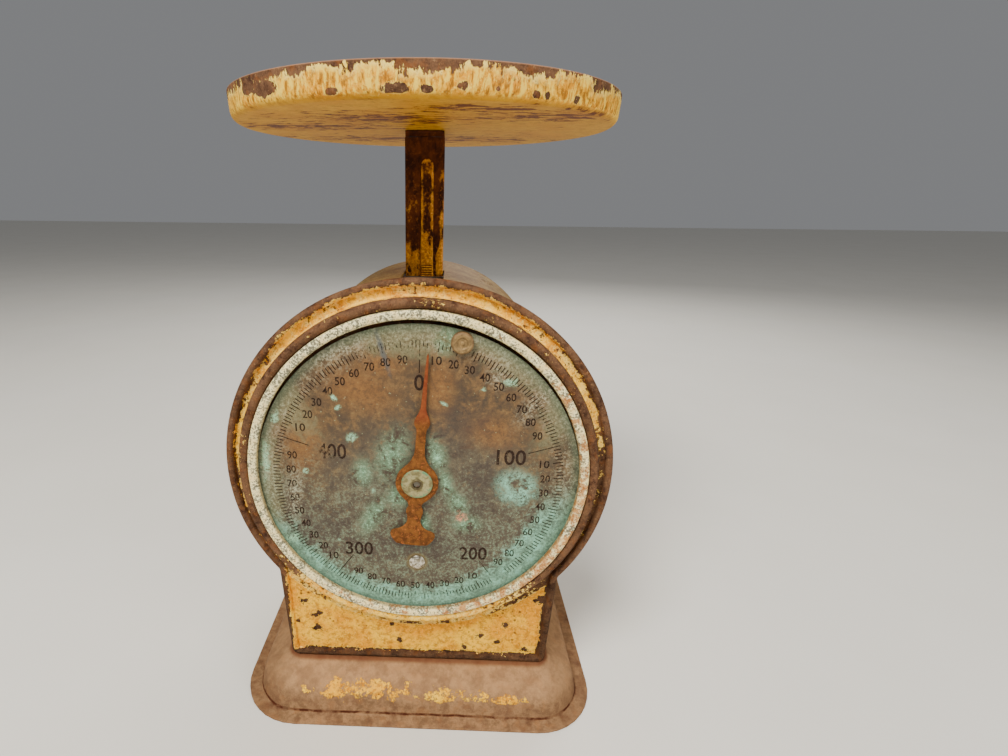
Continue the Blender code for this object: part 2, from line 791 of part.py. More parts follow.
def build_movement():
    foot = case_floor_top + gap
    strip = frame_strip
    front_top = axis_height + frame_front_rise
    rear_top = axis_height + frame_rear_rise
    side_view = [(-frame_front, foot), (-frame_rear, foot), (-frame_rear, rear_top),
                 (-frame_rear - strip, rear_top), (-frame_rear - strip, foot + strip),
                 (-frame_front + strip, foot + strip), (-frame_front + strip, front_top),
                 (-frame_front, front_top)]
    # Local X runs along Y, local Y up and local Z along X.
    sideways = Matrix(((0, 0, 1, 0), (1, 0, 0, 0), (0, 1, 0, 0), (0, 0, 0, 1)))
    frame = plate("movement_frame", sideways, [side_view], -frame_half_width, frame_half_width)
    add_part(frame, "steel")
    on_axis = facing_front(0, axis_height)
    drill(frame, on_axis, collar_nose_radius + gap,
          frame_front - strip - overrun, frame_front + overrun)
    drill(frame, on_axis, bearing_radius + gap, frame_rear - overrun, frame_rear + strip + overrun)
    for x, y in frame_screw_places():
        drill(frame, standing(x, y), screw_shank_radius + gap, foot - overrun, foot + strip + overrun)
    head_top = base_height - base_sheet - gap
    for number, (x, y) in enumerate(frame_screw_places(), 1):
        profile = screw_profile(head_top, foot + strip + gap)
        add_part(turned(f"frame_screw_{number}", standing(x, y), profile), "steel")

    bore = shaft_radius + gap
    flange_back = frame_front + gap
    flange_front = flange_back + bearing_collar
    shoulder_front = carrier_back - gap
    collar = [(bore, collar_front), (collar_radius, collar_front),
              (collar_radius, shoulder_front), (collar_radius + collar_shoulder, shoulder_front),
              (collar_radius + collar_shoulder, shoulder_front - bearing_collar),
              (collar_radius, shoulder_front - bearing_collar), (collar_radius, flange_front),
              (collar_flange_radius, flange_front), (collar_flange_radius, flange_back),
              (collar_nose_radius, flange_back),
              (collar_nose_radius, frame_front - strip - collar_nose_length),
              (bore, frame_front - strip - collar_nose_length)]
    add_part(turned("dial_collar", on_axis, collar, small_round_steps), "brass")
    rear_face = frame_rear + strip + gap
    bearing = [(bore, rear_face + bearing_collar),
               (bearing_radius + bearing_rim, rear_face + bearing_collar),
               (bearing_radius + bearing_rim, rear_face), (bearing_radius, rear_face),
               (bearing_radius, rear_face - bearing_length), (bore, rear_face - bearing_length)]
    add_part(turned("rear_bearing", on_axis, bearing, small_round_steps), "brass")
    ring_back = dial_front + gap
    ring_inner = collar_radius + gap
    ring = [(ring_inner, ring_back + retainer_thickness),
            (ring_inner + retainer_width, ring_back + retainer_thickness),
            (ring_inner + retainer_width, ring_back), (ring_inner, ring_back)]
    add_part(turned("dial_retainer", on_axis, ring, small_round_steps), "steel")


# The teeth are thin, so that rack and pinion keep a clearance at every angle.
def pinion_outline():
    points = []
    root = pinion_pitch_radius - tooth_dedendum
    tip = pinion_pitch_radius + tooth_addendum
    step = 2 * math.pi / pinion_teeth
    for tooth in range(pinion_teeth):
        middle = tooth * step
        for radius, share in ((root, -tooth_root_share), (tip, -tooth_tip_share),
                              (tip, tooth_tip_share), (root, tooth_root_share)):
            angle = middle + share * step / 2
            points.append((radius * math.cos(angle), radius * math.sin(angle)))
    return points


def rack_outline():
    tip = pinion_pitch_radius - tooth_addendum
    root = pinion_pitch_radius + tooth_dedendum
    back = root + rack_back
    count = pinion_teeth + 2 * rack_spare_teeth
    points = []
    for tooth in range(count):
        middle = (tooth - rack_spare_teeth + 0.5) * tooth_pitch
        for x, share in ((root, -tooth_root_share), (tip, -tooth_tip_share),
                         (tip, tooth_tip_share), (root, tooth_root_share)):
            points.append((x, middle + share * tooth_pitch / 2))
    low = -rack_spare_teeth * tooth_pitch
    high = rack_arm_lift - gap
    return [(back, low), (root, low)] + points + [(root, high), (back, high)]


def build_gearing():
    on_axis = facing_front(0, axis_height)
    bore = circle(shaft_radius + gap, small_round_steps)
    pinion_back = pinion_front - gear_width
    pinion = plate("pinion", on_axis, [pinion_outline(), bore], pinion_back, pinion_front)
    add_part(pinion, "brass", "pointer")
    rack = plate("rack", on_axis, [rack_outline()], pinion_back, pinion_front)
    add_part(rack, "brass", "platform")
    shaft_back = frame_rear - bearing_length
    shaft_front = boss_front - boss_recess
    shaft = [(0, shaft_front), (shaft_radius, shaft_front), (shaft_radius, shaft_back), (0, shaft_back)]
    add_part(turned("pointer_shaft", on_axis, shaft), "steel", "pointer")

    inside = pinion_pitch_radius + tooth_dedendum - rack_arm_margin
    outside = pinion_pitch_radius + tooth_dedendum + rack_back + rack_arm_margin
    near = -rib_front - gap
    hub = near - rack_hub_depth
    far = -pinion_front - rack_arm_margin
    arm = [(-rack_hub_half_width, near), (-rack_hub_half_width, hub), (inside, hub - rack_hub_depth),
           (inside, far), (outside, far), (outside, hub), (outside, near)]
    add_part(plate("rack_arm", standing(0, 0), [arm], rack_arm_place, rack_arm_place + rack_arm_height),
             "steel", "platform")


def orbit_place(orbit, angle):
    """A place on the dial, with the angle counted clockwise from the top."""
    return facing_front(orbit * math.sin(angle), axis_height + orbit * math.cos(angle))


def build_dial():
    on_axis = facing_front(0, axis_height)
    knob_place = orbit_place(knob_orbit, knob_angle)
    screw_place = orbit_place(dial_screw_orbit, math.pi)
    hole = collar_radius + gap
    stem_hole = knob_stem_radius + gap
    face = [(hole, dial_front), (dial_radius, dial_front), (dial_radius, dial_back), (hole, dial_back)]
    dial = add_part(turned("dial_plate", on_axis, face, round_steps), "dial_brass", "dial")
    drill(dial, knob_place, stem_hole, dial_back - overrun, dial_front + overrun)
    drill(dial, screw_place, stem_hole, dial_back - overrun, dial_front + overrun)
    disc_back = carrier_front - carrier_sheet
    hub = hole + carrier_hub_wall
    profile = [(hole, carrier_front), (carrier_radius, carrier_front), (carrier_radius, disc_back),
               (hub, disc_back), (hub, carrier_back), (hole, carrier_back)]
    carrier = add_part(turned("dial_carrier", on_axis, profile, round_steps), "steel", "dial")
    drill(carrier, screw_place, stem_hole, disc_back - overrun, carrier_front + overrun)

    knob_foot = dial_front + gap
    knob_top = knob_foot + knob_height
    dish = knob_top - knob_recess
    knob = [(0, dish), (knob_radius * knob_dish_share, dish)]
    knob += [(knob_radius * share, knob_top) for share in knob_rim_shares]
    knob += [(knob_radius, dish)]
    add_part(turned("dial_knob", knob_place, knob + fixing(knob_radius, dial_back - gap)),
             "brass", "dial")
    screw = [(0, knob_foot + dial_screw_height)]
    screw += dome(dial_screw_radius, dial_screw_height, knob_foot, dial_screw_dome_shares)
    add_part(turned("dial_screw", screw_place, screw + fixing(dial_screw_radius, disc_back - gap)),
             "dull_nickel", "dial")


def fixing(head_radius, tail):
    """From the rim of a head on the dial's face, down its shank to the end that holds it."""
    foot = dial_front + gap
    return [(head_radius, foot), (knob_stem_radius, foot), (knob_stem_radius, tail),
            (knob_stem_radius * 2, tail), (knob_stem_radius * 2, tail - fixing_tail),
            (0, tail - fixing_tail)]


def pointer_side():
    """The right side of the pointer from its tip down to the end of its tail."""
    upper = ((needle_half_width, needle_shares), (pointer_bump_half_width, bump_shares),
             (pointer_bar_half_width, bar_shares))
    lower = ((pointer_waist_half_width, neck_shares), (pointer_bulb_half_width, bulb_shares),
             (pointer_waist_half_width, waist_shares), (pointer_wing_half_width, wing_shares))
    points = [(half_width * wide, pointer_reach * along)
              for half_width, shares in upper for along, wide in shares]
    points += arc((0, 0), pointer_ring_radius, pointer_ring_start, pointer_ring_end,
                  pointer_ring_steps)
    points += [(half_width * wide, -pointer_tail_reach * along)
               for half_width, shares in lower for along, wide in shares]
    return points


def build_pointer():
    turn = Matrix.Rotation(pointer_angle, 4, "Y")
    place = Matrix.Translation((0, 0, axis_height)) @ turn @ Matrix.Rotation(math.pi / 2, 4, "X")
    right = pointer_side()
    left = [(-x, y) for x, y in reversed(right)]
    bore = circle(shaft_radius + gap, small_round_steps)
    middle = [(0, -pointer_tail_reach)]
    pointer = plate("pointer", place, [right + middle + left, bore], pointer_back, pointer_front)
    add_part(pointer, "pointer_rust", "pointer")
    inner = shaft_radius + gap
    profile = [(inner, boss_front)] + dome(boss_radius, boss_height, washer_front, boss_dome_shares)
    profile += [(boss_radius, washer_front), (washer_radius, washer_front),
                (washer_radius, washer_back), (inner, washer_back)]
    washer = turned("pointer_washer", facing_front(0, axis_height), profile, small_round_steps)
    add_part(washer, "brass", "pointer")


body_empty("platform", (0, 0, pan_floor_height))
body_empty("pointer", (0, 0, axis_height))
body_empty("dial", (0, 0, axis_height))
build_base()
build_case()
build_front_cover()
build_pan()
build_stem()
build_springs()
build_movement()
build_gearing()
build_dial()
build_pointer()
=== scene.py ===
# %% [markdown]
# # A weathered weighing scale with a round dial
#
# The scale is a stack of pressed sheet steel: a base, an arch-topped case, a front
# cover shaped like a keyhole, and a pan on a stem. Behind the bezel sits a brass dial
# with printed numbers, and a pointer turns in front of it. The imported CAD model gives
# every size and every moving body. This script dresses it: finer shapes stand in for
# the outer parts, and each surface gets its worn paint, rust or verdigris.

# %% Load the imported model
import math

import bmesh
import bpy
from mathutils import Matrix, Vector


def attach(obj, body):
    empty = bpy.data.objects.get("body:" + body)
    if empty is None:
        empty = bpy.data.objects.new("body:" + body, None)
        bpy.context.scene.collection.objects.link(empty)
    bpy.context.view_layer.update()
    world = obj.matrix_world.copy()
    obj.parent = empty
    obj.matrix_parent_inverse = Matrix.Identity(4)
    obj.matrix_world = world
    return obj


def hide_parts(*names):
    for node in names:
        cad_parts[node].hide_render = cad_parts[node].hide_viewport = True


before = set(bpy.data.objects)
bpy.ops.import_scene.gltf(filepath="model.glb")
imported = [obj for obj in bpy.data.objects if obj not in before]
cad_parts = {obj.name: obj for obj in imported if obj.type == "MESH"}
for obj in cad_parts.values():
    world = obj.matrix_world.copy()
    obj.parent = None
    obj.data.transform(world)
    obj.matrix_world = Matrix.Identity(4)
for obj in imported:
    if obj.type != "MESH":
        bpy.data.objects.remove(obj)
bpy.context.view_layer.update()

scene = bpy.context.scene
mm = 0.001


def add_to_scene(name, data):
    thing = bpy.data.objects.new(name, data)
    scene.collection.objects.link(thing)
    return thing


# %% [markdown]
# ## Camera, floor and light
#
# The photograph was taken from close by, slightly above the dial and a little to its
# right, so the picture has strong perspective. The camera's place, its angles and its
# lens were found by matching known points of the scale. The frame is 1008 by 756
# pixels, and a small lens shift covers that the picture was cropped off-centre.

# %% Camera
frame_width, frame_height = 1008, 756
focal_pixels = 537.02
middle_x, middle_y = 430.54, 392.01
camera_place = Vector((13.16, -291.52, 262.38)) * mm
pitch, yaw, roll = (math.radians(angle) for angle in (-19.65, -1.80, 0.56))

forward = Vector((math.sin(yaw) * math.cos(pitch), math.cos(yaw) * math.cos(pitch), math.sin(pitch)))
level_right = Vector((math.cos(yaw), -math.sin(yaw), 0))
level_up = level_right.cross(forward)
right = level_right * math.cos(roll) + level_up * math.sin(roll)
up = level_up * math.cos(roll) - level_right * math.sin(roll)

lens = bpy.data.cameras.new("camera")
lens.sensor_width = 36
lens.lens = focal_pixels / frame_width * lens.sensor_width
lens.shift_x = (frame_width / 2 - middle_x) / frame_width
lens.shift_y = (middle_y - frame_height / 2) / frame_width
lens.clip_start = 0.01
camera = add_to_scene("camera", lens)
camera.matrix_world = Matrix.Translation(camera_place) @ Matrix((right, up, -forward)).transposed().to_4x4()
scene.camera = camera
print("lens", round(lens.lens, 2), "mm, shift", round(lens.shift_x, 4), round(lens.shift_y, 4))

# %% Light
def soft_light(name, place, target, size, power, colour):
    lamp = bpy.data.lights.new(name, "AREA")
    lamp.shape = "DISK"
    lamp.size = size
    lamp.energy = power
    lamp.color = colour
    thing = add_to_scene(name, lamp)
    thing.location = place
    thing.rotation_mode = "QUATERNION"
    thing.rotation_quaternion = (Vector(target) - Vector(place)).to_track_quat("-Z", "Y")


middle = (0, 0, 0.16)
soft_light("key", (-0.42, -0.80, 1.30), middle, 0.60, 32, (1.0, 0.96, 0.89))
soft_light("fill", (0.95, -0.80, 0.60), middle, 0.80, 8, (1.0, 0.97, 0.93))
soft_light("rear", (0.30, 1.00, 0.95), middle, 0.80, 9, (1.0, 0.97, 0.92))

sky = bpy.data.worlds.new("studio")
sky.use_nodes = True
sky.node_tree.nodes["Background"].inputs["Color"].default_value = (0.62, 0.63, 0.65, 1)
sky.node_tree.nodes["Background"].inputs["Strength"].default_value = 0.34
scene.world = sky

# %% [markdown]
# ## Writing materials as sums
#
# A worn surface is mostly arithmetic: this much rust where the noise is high, a bit
# more near an edge, less where the paint was thick. Wiring each Math node by hand hides
# that. The class Field wraps one socket and turns + - * / into Math nodes, so a mask
# reads like a formula. Colours are kept out of it, because a Math node would turn them
# grey. The class Coat holds a colour, and laying another one on it adds a Mix node.

# %% Values that can be added and multiplied, and colours that can be laid
class Field:
    """One value that changes over a surface."""

    def __init__(self, recipe, socket):
        self.recipe, self.socket = recipe, socket

    def __add__(self, other):
        return self.recipe.math("ADD", self, other)

    def __sub__(self, other):
        return self.recipe.math("SUBTRACT", self, other)

    def __mul__(self, other):
        return self.recipe.math("MULTIPLY", self, other)

    def __truediv__(self, other):
        return self.recipe.math("DIVIDE", self, other)

    def __rsub__(self, other):
        return self.recipe.math("SUBTRACT", other, self)

    def __abs__(self):
        return self.recipe.math("ABSOLUTE", self)

    def step(self, low, high):
        """0 below low and 1 above high, with a soft change between; low may be the larger."""
        made = self.recipe.node("ShaderNodeMapRange", {"interpolation_type": "SMOOTHSTEP"},
                                {"Value": self, "From Min": low, "From Max": high})
        return Field(self.recipe, made.outputs[0])

    __radd__ = __add__
    __rmul__ = __mul__


class Coat:
    """One colour over a surface, on which other colours can be laid."""

    def __init__(self, recipe, socket):
        self.recipe, self.socket = recipe, socket

    def lay(self, mask, colour):
        """Covers this colour with another one where the mask is 1."""
        self.socket = self.recipe.blend(mask, self, colour).socket


# %% A recipe holds one material's nodes
class Recipe:
    """Builds one material. Lengths in its patterns are millimetres on the object."""

    def __init__(self, name):
        self.material = bpy.data.materials.new(name)
        self.material.use_nodes = True
        self.tree = self.material.node_tree
        self.shader = self.tree.nodes["Principled BSDF"]
        place = self.node("ShaderNodeTexCoord").outputs["Object"]
        self.place = self.node("ShaderNodeVectorMath", {"operation": "SCALE"},
                               {0: place, "Scale": 1 / mm}).outputs[0]
        split = self.node("ShaderNodeSeparateXYZ", {}, {0: self.place})
        self.x, self.y, self.z = (Field(self, socket) for socket in split.outputs)

    def node(self, kind, settings=None, sockets=None):
        made = self.tree.nodes.new(kind)
        for name, value in (settings or {}).items():
            setattr(made, name, value)
        for key, value in (sockets or {}).items():
            value = getattr(value, "socket", value)
            if isinstance(value, bpy.types.NodeSocket):
                self.tree.links.new(value, made.inputs[key])
            else:
                made.inputs[key].default_value = value
        return made

    def math(self, operation, *values):
        made = self.node("ShaderNodeMath", {"operation": operation}, dict(enumerate(values)))
        return Field(self, made.outputs[0])

    def larger(self, one, other):
        return self.math("MAXIMUM", one, other)

    def smaller(self, one, other):
        return self.math("MINIMUM", one, other)

    def mottle(self, size, detail=4, shift=(0, 0, 0), rough=0.55, stretch=(1, 1, 1), warp=0.0):
        """Noise from 0 to 1, whose patches are about size millimetres across."""
        turned = self.node("ShaderNodeMapping", {"vector_type": "POINT"},
                           {"Vector": self.place, "Location": shift,
                            "Scale": [1 / (size * way) for way in stretch]})
        made = self.node("ShaderNodeTexNoise", {}, {"Vector": turned.outputs[0], "Scale": 1.0,
                                                    "Detail": detail, "Roughness": rough,
                                                    "Distortion": warp})
        return Field(self, made.outputs[0])

    def grit(self, size, low, high, shift):
        """Noise with hard contrast, mostly 0 or 1, for a surface that is eaten away in flecks."""
        return self.mottle(size, 8, shift, 0.78).step(low, high)

    def spots(self, size, shift):
        """Distance to the nearest of many scattered points, in shares of their spacing."""
        turned = self.node("ShaderNodeMapping", {}, {"Vector": self.place, "Location": shift,
                                                     "Scale": [1 / size] * 3})
        made = self.node("ShaderNodeTexVoronoi", {}, {"Vector": turned.outputs[0], "Scale": 1.0})
        return Field(self, made.outputs[0])

    def oval(self, place, reach, turn=0):
        """Distance from the middle of an oval patch: 1 at its rim. A reach of None runs through."""
        reach = [1e6 if way is None else way for way in reach]
        turned = self.node("ShaderNodeMapping", {"vector_type": "TEXTURE"},
                           {"Vector": self.place, "Location": place, "Scale": reach,
                            "Rotation": (0, math.radians(turn), 0)})
        made = self.node("ShaderNodeVectorMath", {"operation": "LENGTH"}, {0: turned.outputs[0]})
        return Field(self, made.outputs["Value"])

    def patches(self, ovals, ragged, soft=0.3):
        """1 inside any of some ovals, given as (place, reach) or with a turn; noise frays their rims."""
        near = None
        for oval in ovals:
            far = self.oval(*oval)
            near = far if near is None else self.smaller(near, far)
        return (near + ragged).step(1 + soft, 1 - soft)

    def blend(self, mask, one, other):
        """One colour where the mask is 0, and the other where it is 1."""
        made = self.node("ShaderNodeMix", {"data_type": "RGBA"}, {0: mask, 6: hue(one), 7: hue(other)})
        return Coat(self, made.outputs[2])

    def shade(self, colour, amount):
        """Multiplies a colour by a value, to lighten or darken it."""
        made = self.node("ShaderNodeVectorMath", {"operation": "SCALE"}, {0: colour, "Scale": amount})
        return Coat(self, made.outputs[0])

    def finish(self, colour, roughness, height=None, depth=0.1, metallic=0.0):
        """Wires the shader; the bump's depth is in millimetres for a height of 0 to 1."""
        for name, value in (("Base Color", colour), ("Roughness", roughness), ("Metallic", metallic)):
            value = getattr(value, "socket", value)
            if isinstance(value, bpy.types.NodeSocket):
                self.tree.links.new(value, self.shader.inputs[name])
            else:
                self.shader.inputs[name].default_value = value
        self.shader.inputs["Specular IOR Level"].default_value = 0.5 if metallic else 0.10
        if height is not None:
            bump = self.node("ShaderNodeBump", {}, {"Height": height, "Distance": depth * mm,
                                                    "Strength": 1.0})
            self.tree.links.new(bump.outputs[0], self.shader.inputs["Normal"])
        return self.material


def hue(colour):
    """A screen colour, 0 to 255 a channel, as linear values, a little stronger than it looks.

    The view pales strong colours, so each channel is moved away from the brightest.
    """
    if not isinstance(colour, tuple):
        return colour
    shares = [channel / 255 for channel in colour]
    linear = [share / 12.92 if share <= 0.04045 else ((share + 0.055) / 1.055) ** 2.4 for share in shares]
    brightest = max(linear)
    return [brightest * (share / brightest) ** 1.55 for share in linear] + [1.0]


# %% [markdown]
# ## Rust and old paint
#
# Two finishes cover most of the scale. Where the paint has gone there is old rust: a
# purple-brown skin with orange bloom and dark pits. Where it has stayed there is a
# golden stove enamel, stained and dusty. Each is written once, and every piece then
# says with its own mask where the paint has held. The paint's edge gets a step in the
# bump, because a flake of enamel is about a tenth of a millimetre thick.

# %% Rust
def rust(recipe, shift=(0, 0, 0), dusty=0.5):
    """Gives the colour and the height of old rust; dusty is how pale its skin is, 0 to 1."""
    broad = recipe.mottle(15, 3, shift)
    cloud = recipe.mottle(3.4, 6, shift, 0.66, warp=0.3)
    grain = recipe.mottle(0.7, 4, shift, 0.7)
    bloom = recipe.mottle(6, 6, (shift[1] + 3, shift[2], shift[0]), 0.62)
    skin = recipe.blend(broad.step(0.36, 0.64), (76, 59, 49), (108, 86, 70))
    skin.lay(cloud.step(0.38, 0.62) * dusty * 0.8, (160, 134, 106))
    skin.lay(cloud.step(0.46, 0.32) * (0.9 - 0.4 * dusty), (56, 42, 34))
    skin.lay(bloom.step(0.50, 0.66) * 0.5, (140, 100, 62))
    skin.lay(recipe.grit(2.2, 0.55, 0.66, shift) * (0.75 - 0.4 * dusty), (50, 38, 32))
    skin.lay(recipe.grit(1.2, 0.55, 0.66, (shift[2], 4, shift[0])) * 0.5, (184, 156, 124))
    return recipe.shade(skin, grain * 1.3 + 0.28), cloud * 0.4 + grain * 0.6


# %% Old enamel
def enamel(recipe, shift=(0, 0, 0), pale=(244, 204, 70), deep=(222, 166, 34), stained=(166, 118, 38),
           bright=(255, 232, 146)):
    """Gives the colour of the enamel and the noise of its stains."""
    broad = recipe.mottle(16, 4, shift)
    stain = recipe.mottle(2.8, 8, shift, 0.74, warp=0.3)
    speck = recipe.mottle(1.1, 5, shift, 0.70)
    clusters = recipe.mottle(9, 4, (shift[2], shift[0], 6)).step(0.46, 0.62)
    coat = recipe.blend(broad.step(0.34, 0.66), deep, pale)
    coat.lay(stain.step(0.44, 0.62) * 0.75, stained)
    coat.lay(speck.step(0.46, 0.32) * 0.6, bright)
    dots = recipe.spots(3.2, shift)
    coat.lay((dots + speck * 0.6 - clusters * 0.24).step(0.34, 0.24) * 0.9, (96, 66, 40))
    return coat, stain


# %% Paint over rust
def worn_paint(recipe, hold, shift=(0, 0, 0), dusty=0.5, darker=0.0, bright=(255, 234, 158), **colours):
    """Paint where hold is above one half, rust below; a dark stain creeps in from the edge."""
    skin, rough_height = rust(recipe, shift, dusty)
    skin = recipe.shade(skin, 1 - darker)
    coat, stain = enamel(recipe, shift, bright=bright, **colours)
    edge = recipe.mottle(1.5, 6, shift, 0.72)
    flake = recipe.mottle(4.5, 6, (shift[1], 3, shift[0]), 0.70)
    hold = hold + (edge - 0.5) * 1.5 + (flake - 0.5) * 1.0
    paint = hold.step(0.47, 0.55)
    lifted = hold.step(0.92, 0.60) * flake.step(0.40, 0.54)
    coat.lay(lifted * 0.8, bright)
    coat.lay(hold.step(0.58, 0.50) * 0.7, (150, 112, 56))
    colour = recipe.blend(paint, skin, coat)
    height = paint * (0.7 + 0.1 * stain) + (1 - paint) * rough_height * 0.55
    return recipe.finish(colour, 0.86 - 0.30 * paint, height, depth=0.22)


# %% [markdown]
# ## Helpers for shapes
#
# Most of the outer parts are turned or pressed. A turned part is a profile spun round
# an axis, and a pressed edge is a corner with a small radius. So one helper draws a
# profile as a chain of edges, rounds its corners with a vertex bevel, and spins it.
# Another one ends every piece in the same way: it merges doubles, points the faces
# outwards, sets the shading and hands the piece to the body that carries it.

# %% Make a finished piece
PIECES = {}


def dress(material, *pieces):
    """Gives a material to new pieces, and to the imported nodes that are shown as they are."""
    for piece in pieces:
        thing = PIECES[piece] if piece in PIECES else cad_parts[piece]
        thing.data.materials.clear()
        thing.data.materials.append(material)
    print(material.name, "on", ", ".join(pieces), "with", len(material.node_tree.nodes), "nodes")


def piece_from(shape, name, body, nodes=(), sharp=32):
    bmesh.ops.remove_doubles(shape, verts=shape.verts, dist=0.002 * mm)
    bmesh.ops.recalc_face_normals(shape, faces=shape.faces)
    mesh = bpy.data.meshes.new(name)
    shape.to_mesh(mesh)
    shape.free()
    mesh.shade_smooth()
    mesh.set_sharp_from_angle(angle=math.radians(sharp))
    piece = add_to_scene(name, mesh)
    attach(piece, body)
    if nodes:
        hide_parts(*nodes)
    PIECES[name] = piece
    open_edges = sum(1 for edge in edges_of(mesh) if edge == 1)
    print(f"{name}: {len(mesh.polygons)} faces, {open_edges} open edges")


def move(shape, verts, x, y, z):
    """Moves points by x, y and z millimetres."""
    bmesh.ops.translate(shape, vec=(x * mm, y * mm, z * mm), verts=verts)


def join(shape, verts):
    for one, other in zip(verts, verts[1:]):
        shape.edges.new((one, other))


def ease(shape, geom, radius, segments, kind="VERTICES"):
    """Rounds the corners of an outline, or edges, to a radius in millimetres."""
    return bmesh.ops.bevel(shape, geom=geom, offset=radius * mm, offset_type="OFFSET", segments=segments,
                           profile=0.5, affect=kind, material=-1)


def pull(shape, faces, way):
    """Extrudes faces and moves the new ones a way in millimetres."""
    made = bmesh.ops.extrude_face_region(shape, geom=faces)["geom"]
    moved = [item for item in made if isinstance(item, bmesh.types.BMVert)]
    bmesh.ops.translate(shape, vec=Vector(way) * mm, verts=moved)


def edges_where(shape, holds, least_angle=-1):
    """The edges whose two ends pass a test on their place in millimetres."""
    return [edge for edge in shape.edges if all(holds(vert.co / mm) for vert in edge.verts)
            and (least_angle < 0 or edge.calc_face_angle(0) > least_angle)]


def add_shape(shape, other):
    scrap = bpy.data.meshes.new("scrap")
    other.to_mesh(scrap)
    other.free()
    shape.from_mesh(scrap)
    bpy.data.meshes.remove(scrap)


def thicken(shape, thickness):
    bmesh.ops.recalc_face_normals(shape, faces=shape.faces)
    bmesh.ops.solidify(shape, geom=shape.faces[:], thickness=thickness * mm)


def edges_of(mesh):
    """How many faces meet at each edge."""
    count = [0] * len(mesh.edges)
    for polygon in mesh.polygons:
        for loop in polygon.loop_indices:
            count[mesh.loops[loop].edge_index] += 1
    return count


# %% Profiles and spins
def chain(shape, points):
    """A chain of edges through (across, height, corner radius) points, in millimetres."""
    verts = [shape.verts.new((across * mm, 0, height * mm)) for across, height, _ in points]
    join(shape, verts)
    for vert, (_, _, radius) in zip(verts, points):
        if radius:
            ease(shape, [vert], radius, 5)
    return shape


def spun(points, steps=160, closed=False):
    shape = bmesh.new()
    if closed:
        points = points + [points[0][:2] + (0,)]
    chain(shape, points)
    bmesh.ops.spin(shape, geom=shape.verts[:] + shape.edges[:], cent=(0, 0, 0), axis=(0, 0, 1),
                   dvec=(0, 0, 0), angle=2 * math.pi, steps=steps, use_merge=True)
    bmesh.ops.remove_doubles(shape, verts=shape.verts, dist=0.002 * mm)
    return shape


def face_front(shape, place):
    """Turns a shape that was made looking up, so that it looks out of the dial."""
    turn = Matrix.Translation(place) @ Matrix.Rotation(math.pi / 2, 4, "X")
    bmesh.ops.transform(shape, matrix=turn, verts=shape.verts)
    return shape


window_up, axis_up = 137.84, 135.10
window = Vector((0, 0, window_up)) * mm
axis = Vector((0, 0, axis_up)) * mm
print("the window's middle lies", round(window_up - axis_up, 2), "mm above the dial's axis")

# %% [markdown]
# ## The base
#
# The base is one pressing: a flat flange on the table, a crease, a round bolster and a
# slope up to the case. Each level is a rectangle with rounded corners, and the corners
# get tighter on the way up. So each level is four points whose corners are bevelled,
# and bridging one level to the next makes the skin. Giving that skin a thickness last
# leaves the base open below, as the real one is.

# %% Base: levels bridged into a skin
def rounded_level(shape, half_x, half_y, radius, height):
    """Adds the outline of a rectangle with rounded corners at a height, and gives its edges."""
    verts = bmesh.ops.create_grid(shape, x_segments=1, y_segments=1, size=1)["verts"]
    bmesh.ops.scale(shape, vec=(half_x * mm, half_y * mm, 1), verts=verts)
    move(shape, verts, 0, 0, height)
    made = ease(shape, verts, radius, 9)
    filled = {face for vert in made["verts"] for face in vert.link_faces}
    bmesh.ops.delete(shape, geom=list(filled), context="FACES_ONLY")
    return list({edge for vert in made["verts"] for edge in vert.link_edges})


# How far in towards the top, and the height, at each level in millimetres.
base_levels = ((0.000, 1.20), (0.225, 1.20), (0.255, 1.35), (0.275, 2.00), (0.290, 3.40), (0.305, 5.60),
               (0.325, 8.10), (0.350, 10.40), (0.385, 12.30), (0.430, 13.50), (0.485, 14.45),
               (0.640, 17.10), (0.820, 19.90), (0.955, 21.75), (0.985, 22.00))
base_outer, base_inner = (97.2, 85.0, 33.0), (70.9, 60.2, 7.0)

shape = bmesh.new()
loops = []
for inward, height in base_levels:
    half_x, half_y, radius = (low + (high - low) * inward for low, high in zip(base_outer, base_inner))
    loops.append(rounded_level(shape, half_x, half_y, radius, height))
for low, high in zip(loops, loops[1:]):
    bmesh.ops.bridge_loops(shape, edges=low + high)
bmesh.ops.contextual_create(shape, geom=loops[-1])
thicken(shape, 1.15)
lip = edges_where(shape, lambda place: 1.15 < place.z < 1.25, least_angle=1.2)
ease(shape, lip, 0.35, 3, "EDGES")
piece_from(shape, "base_pressing", "case", ("base_shell",), sharp=50)

# %% Base finish: rust, with enamel left on the front bolster
recipe = Recipe("base_rust_and_enamel")
broad = recipe.mottle(9, 5, (3, 8, 1), 0.6)
ragged = (recipe.mottle(6, 6, (5, 1, 2), 0.65) - 0.5) * 3.4
front_band = recipe.patches([((-30, -73, 13.0), (28, 9, 4.2)), ((14, -74, 12.0), (16, 9, 3.0)),
                             ((42, -74, 11.5), (22, 9, 2.6))], ragged, soft=0.5)
faint = recipe.patches([((-32, -62, 20), (9, 3, 3)), ((46, -62, 20), (11, 3, 3)),
                        ((-56, -66, 19), (5, 3, 3)), ((70, 40, 17), (9, 20, 4)),
                        ((-78, 15, 15), (8, 22, 4)), ((15, 75, 14), (30, 8, 4))], ragged)
hold = 0.70 * broad * (front_band + 0.55 * faint) + 0.22 * front_band
skin, rough_height = rust(recipe, shift=(0, 0, 0), dusty=1.0)
skin.lay(0.35, (164, 140, 112))
# Painted light: the base above about 9 mm is made paler, against the shade that the case and cover cast on
# it.
skin.lay(recipe.z.step(9, 16) * 0.35, (192, 164, 130))
skin.lay(broad.step(0.46, 0.62) * 0.35, (98, 78, 66))
skin.lay(abs(recipe.x).step(66, 80) * 0.35, (104, 84, 66))
coat, _ = enamel(recipe, shift=(4, 0, 0), pale=(254, 218, 96), deep=(234, 184, 62))
level = recipe.z + (broad - 0.5) * 1.4
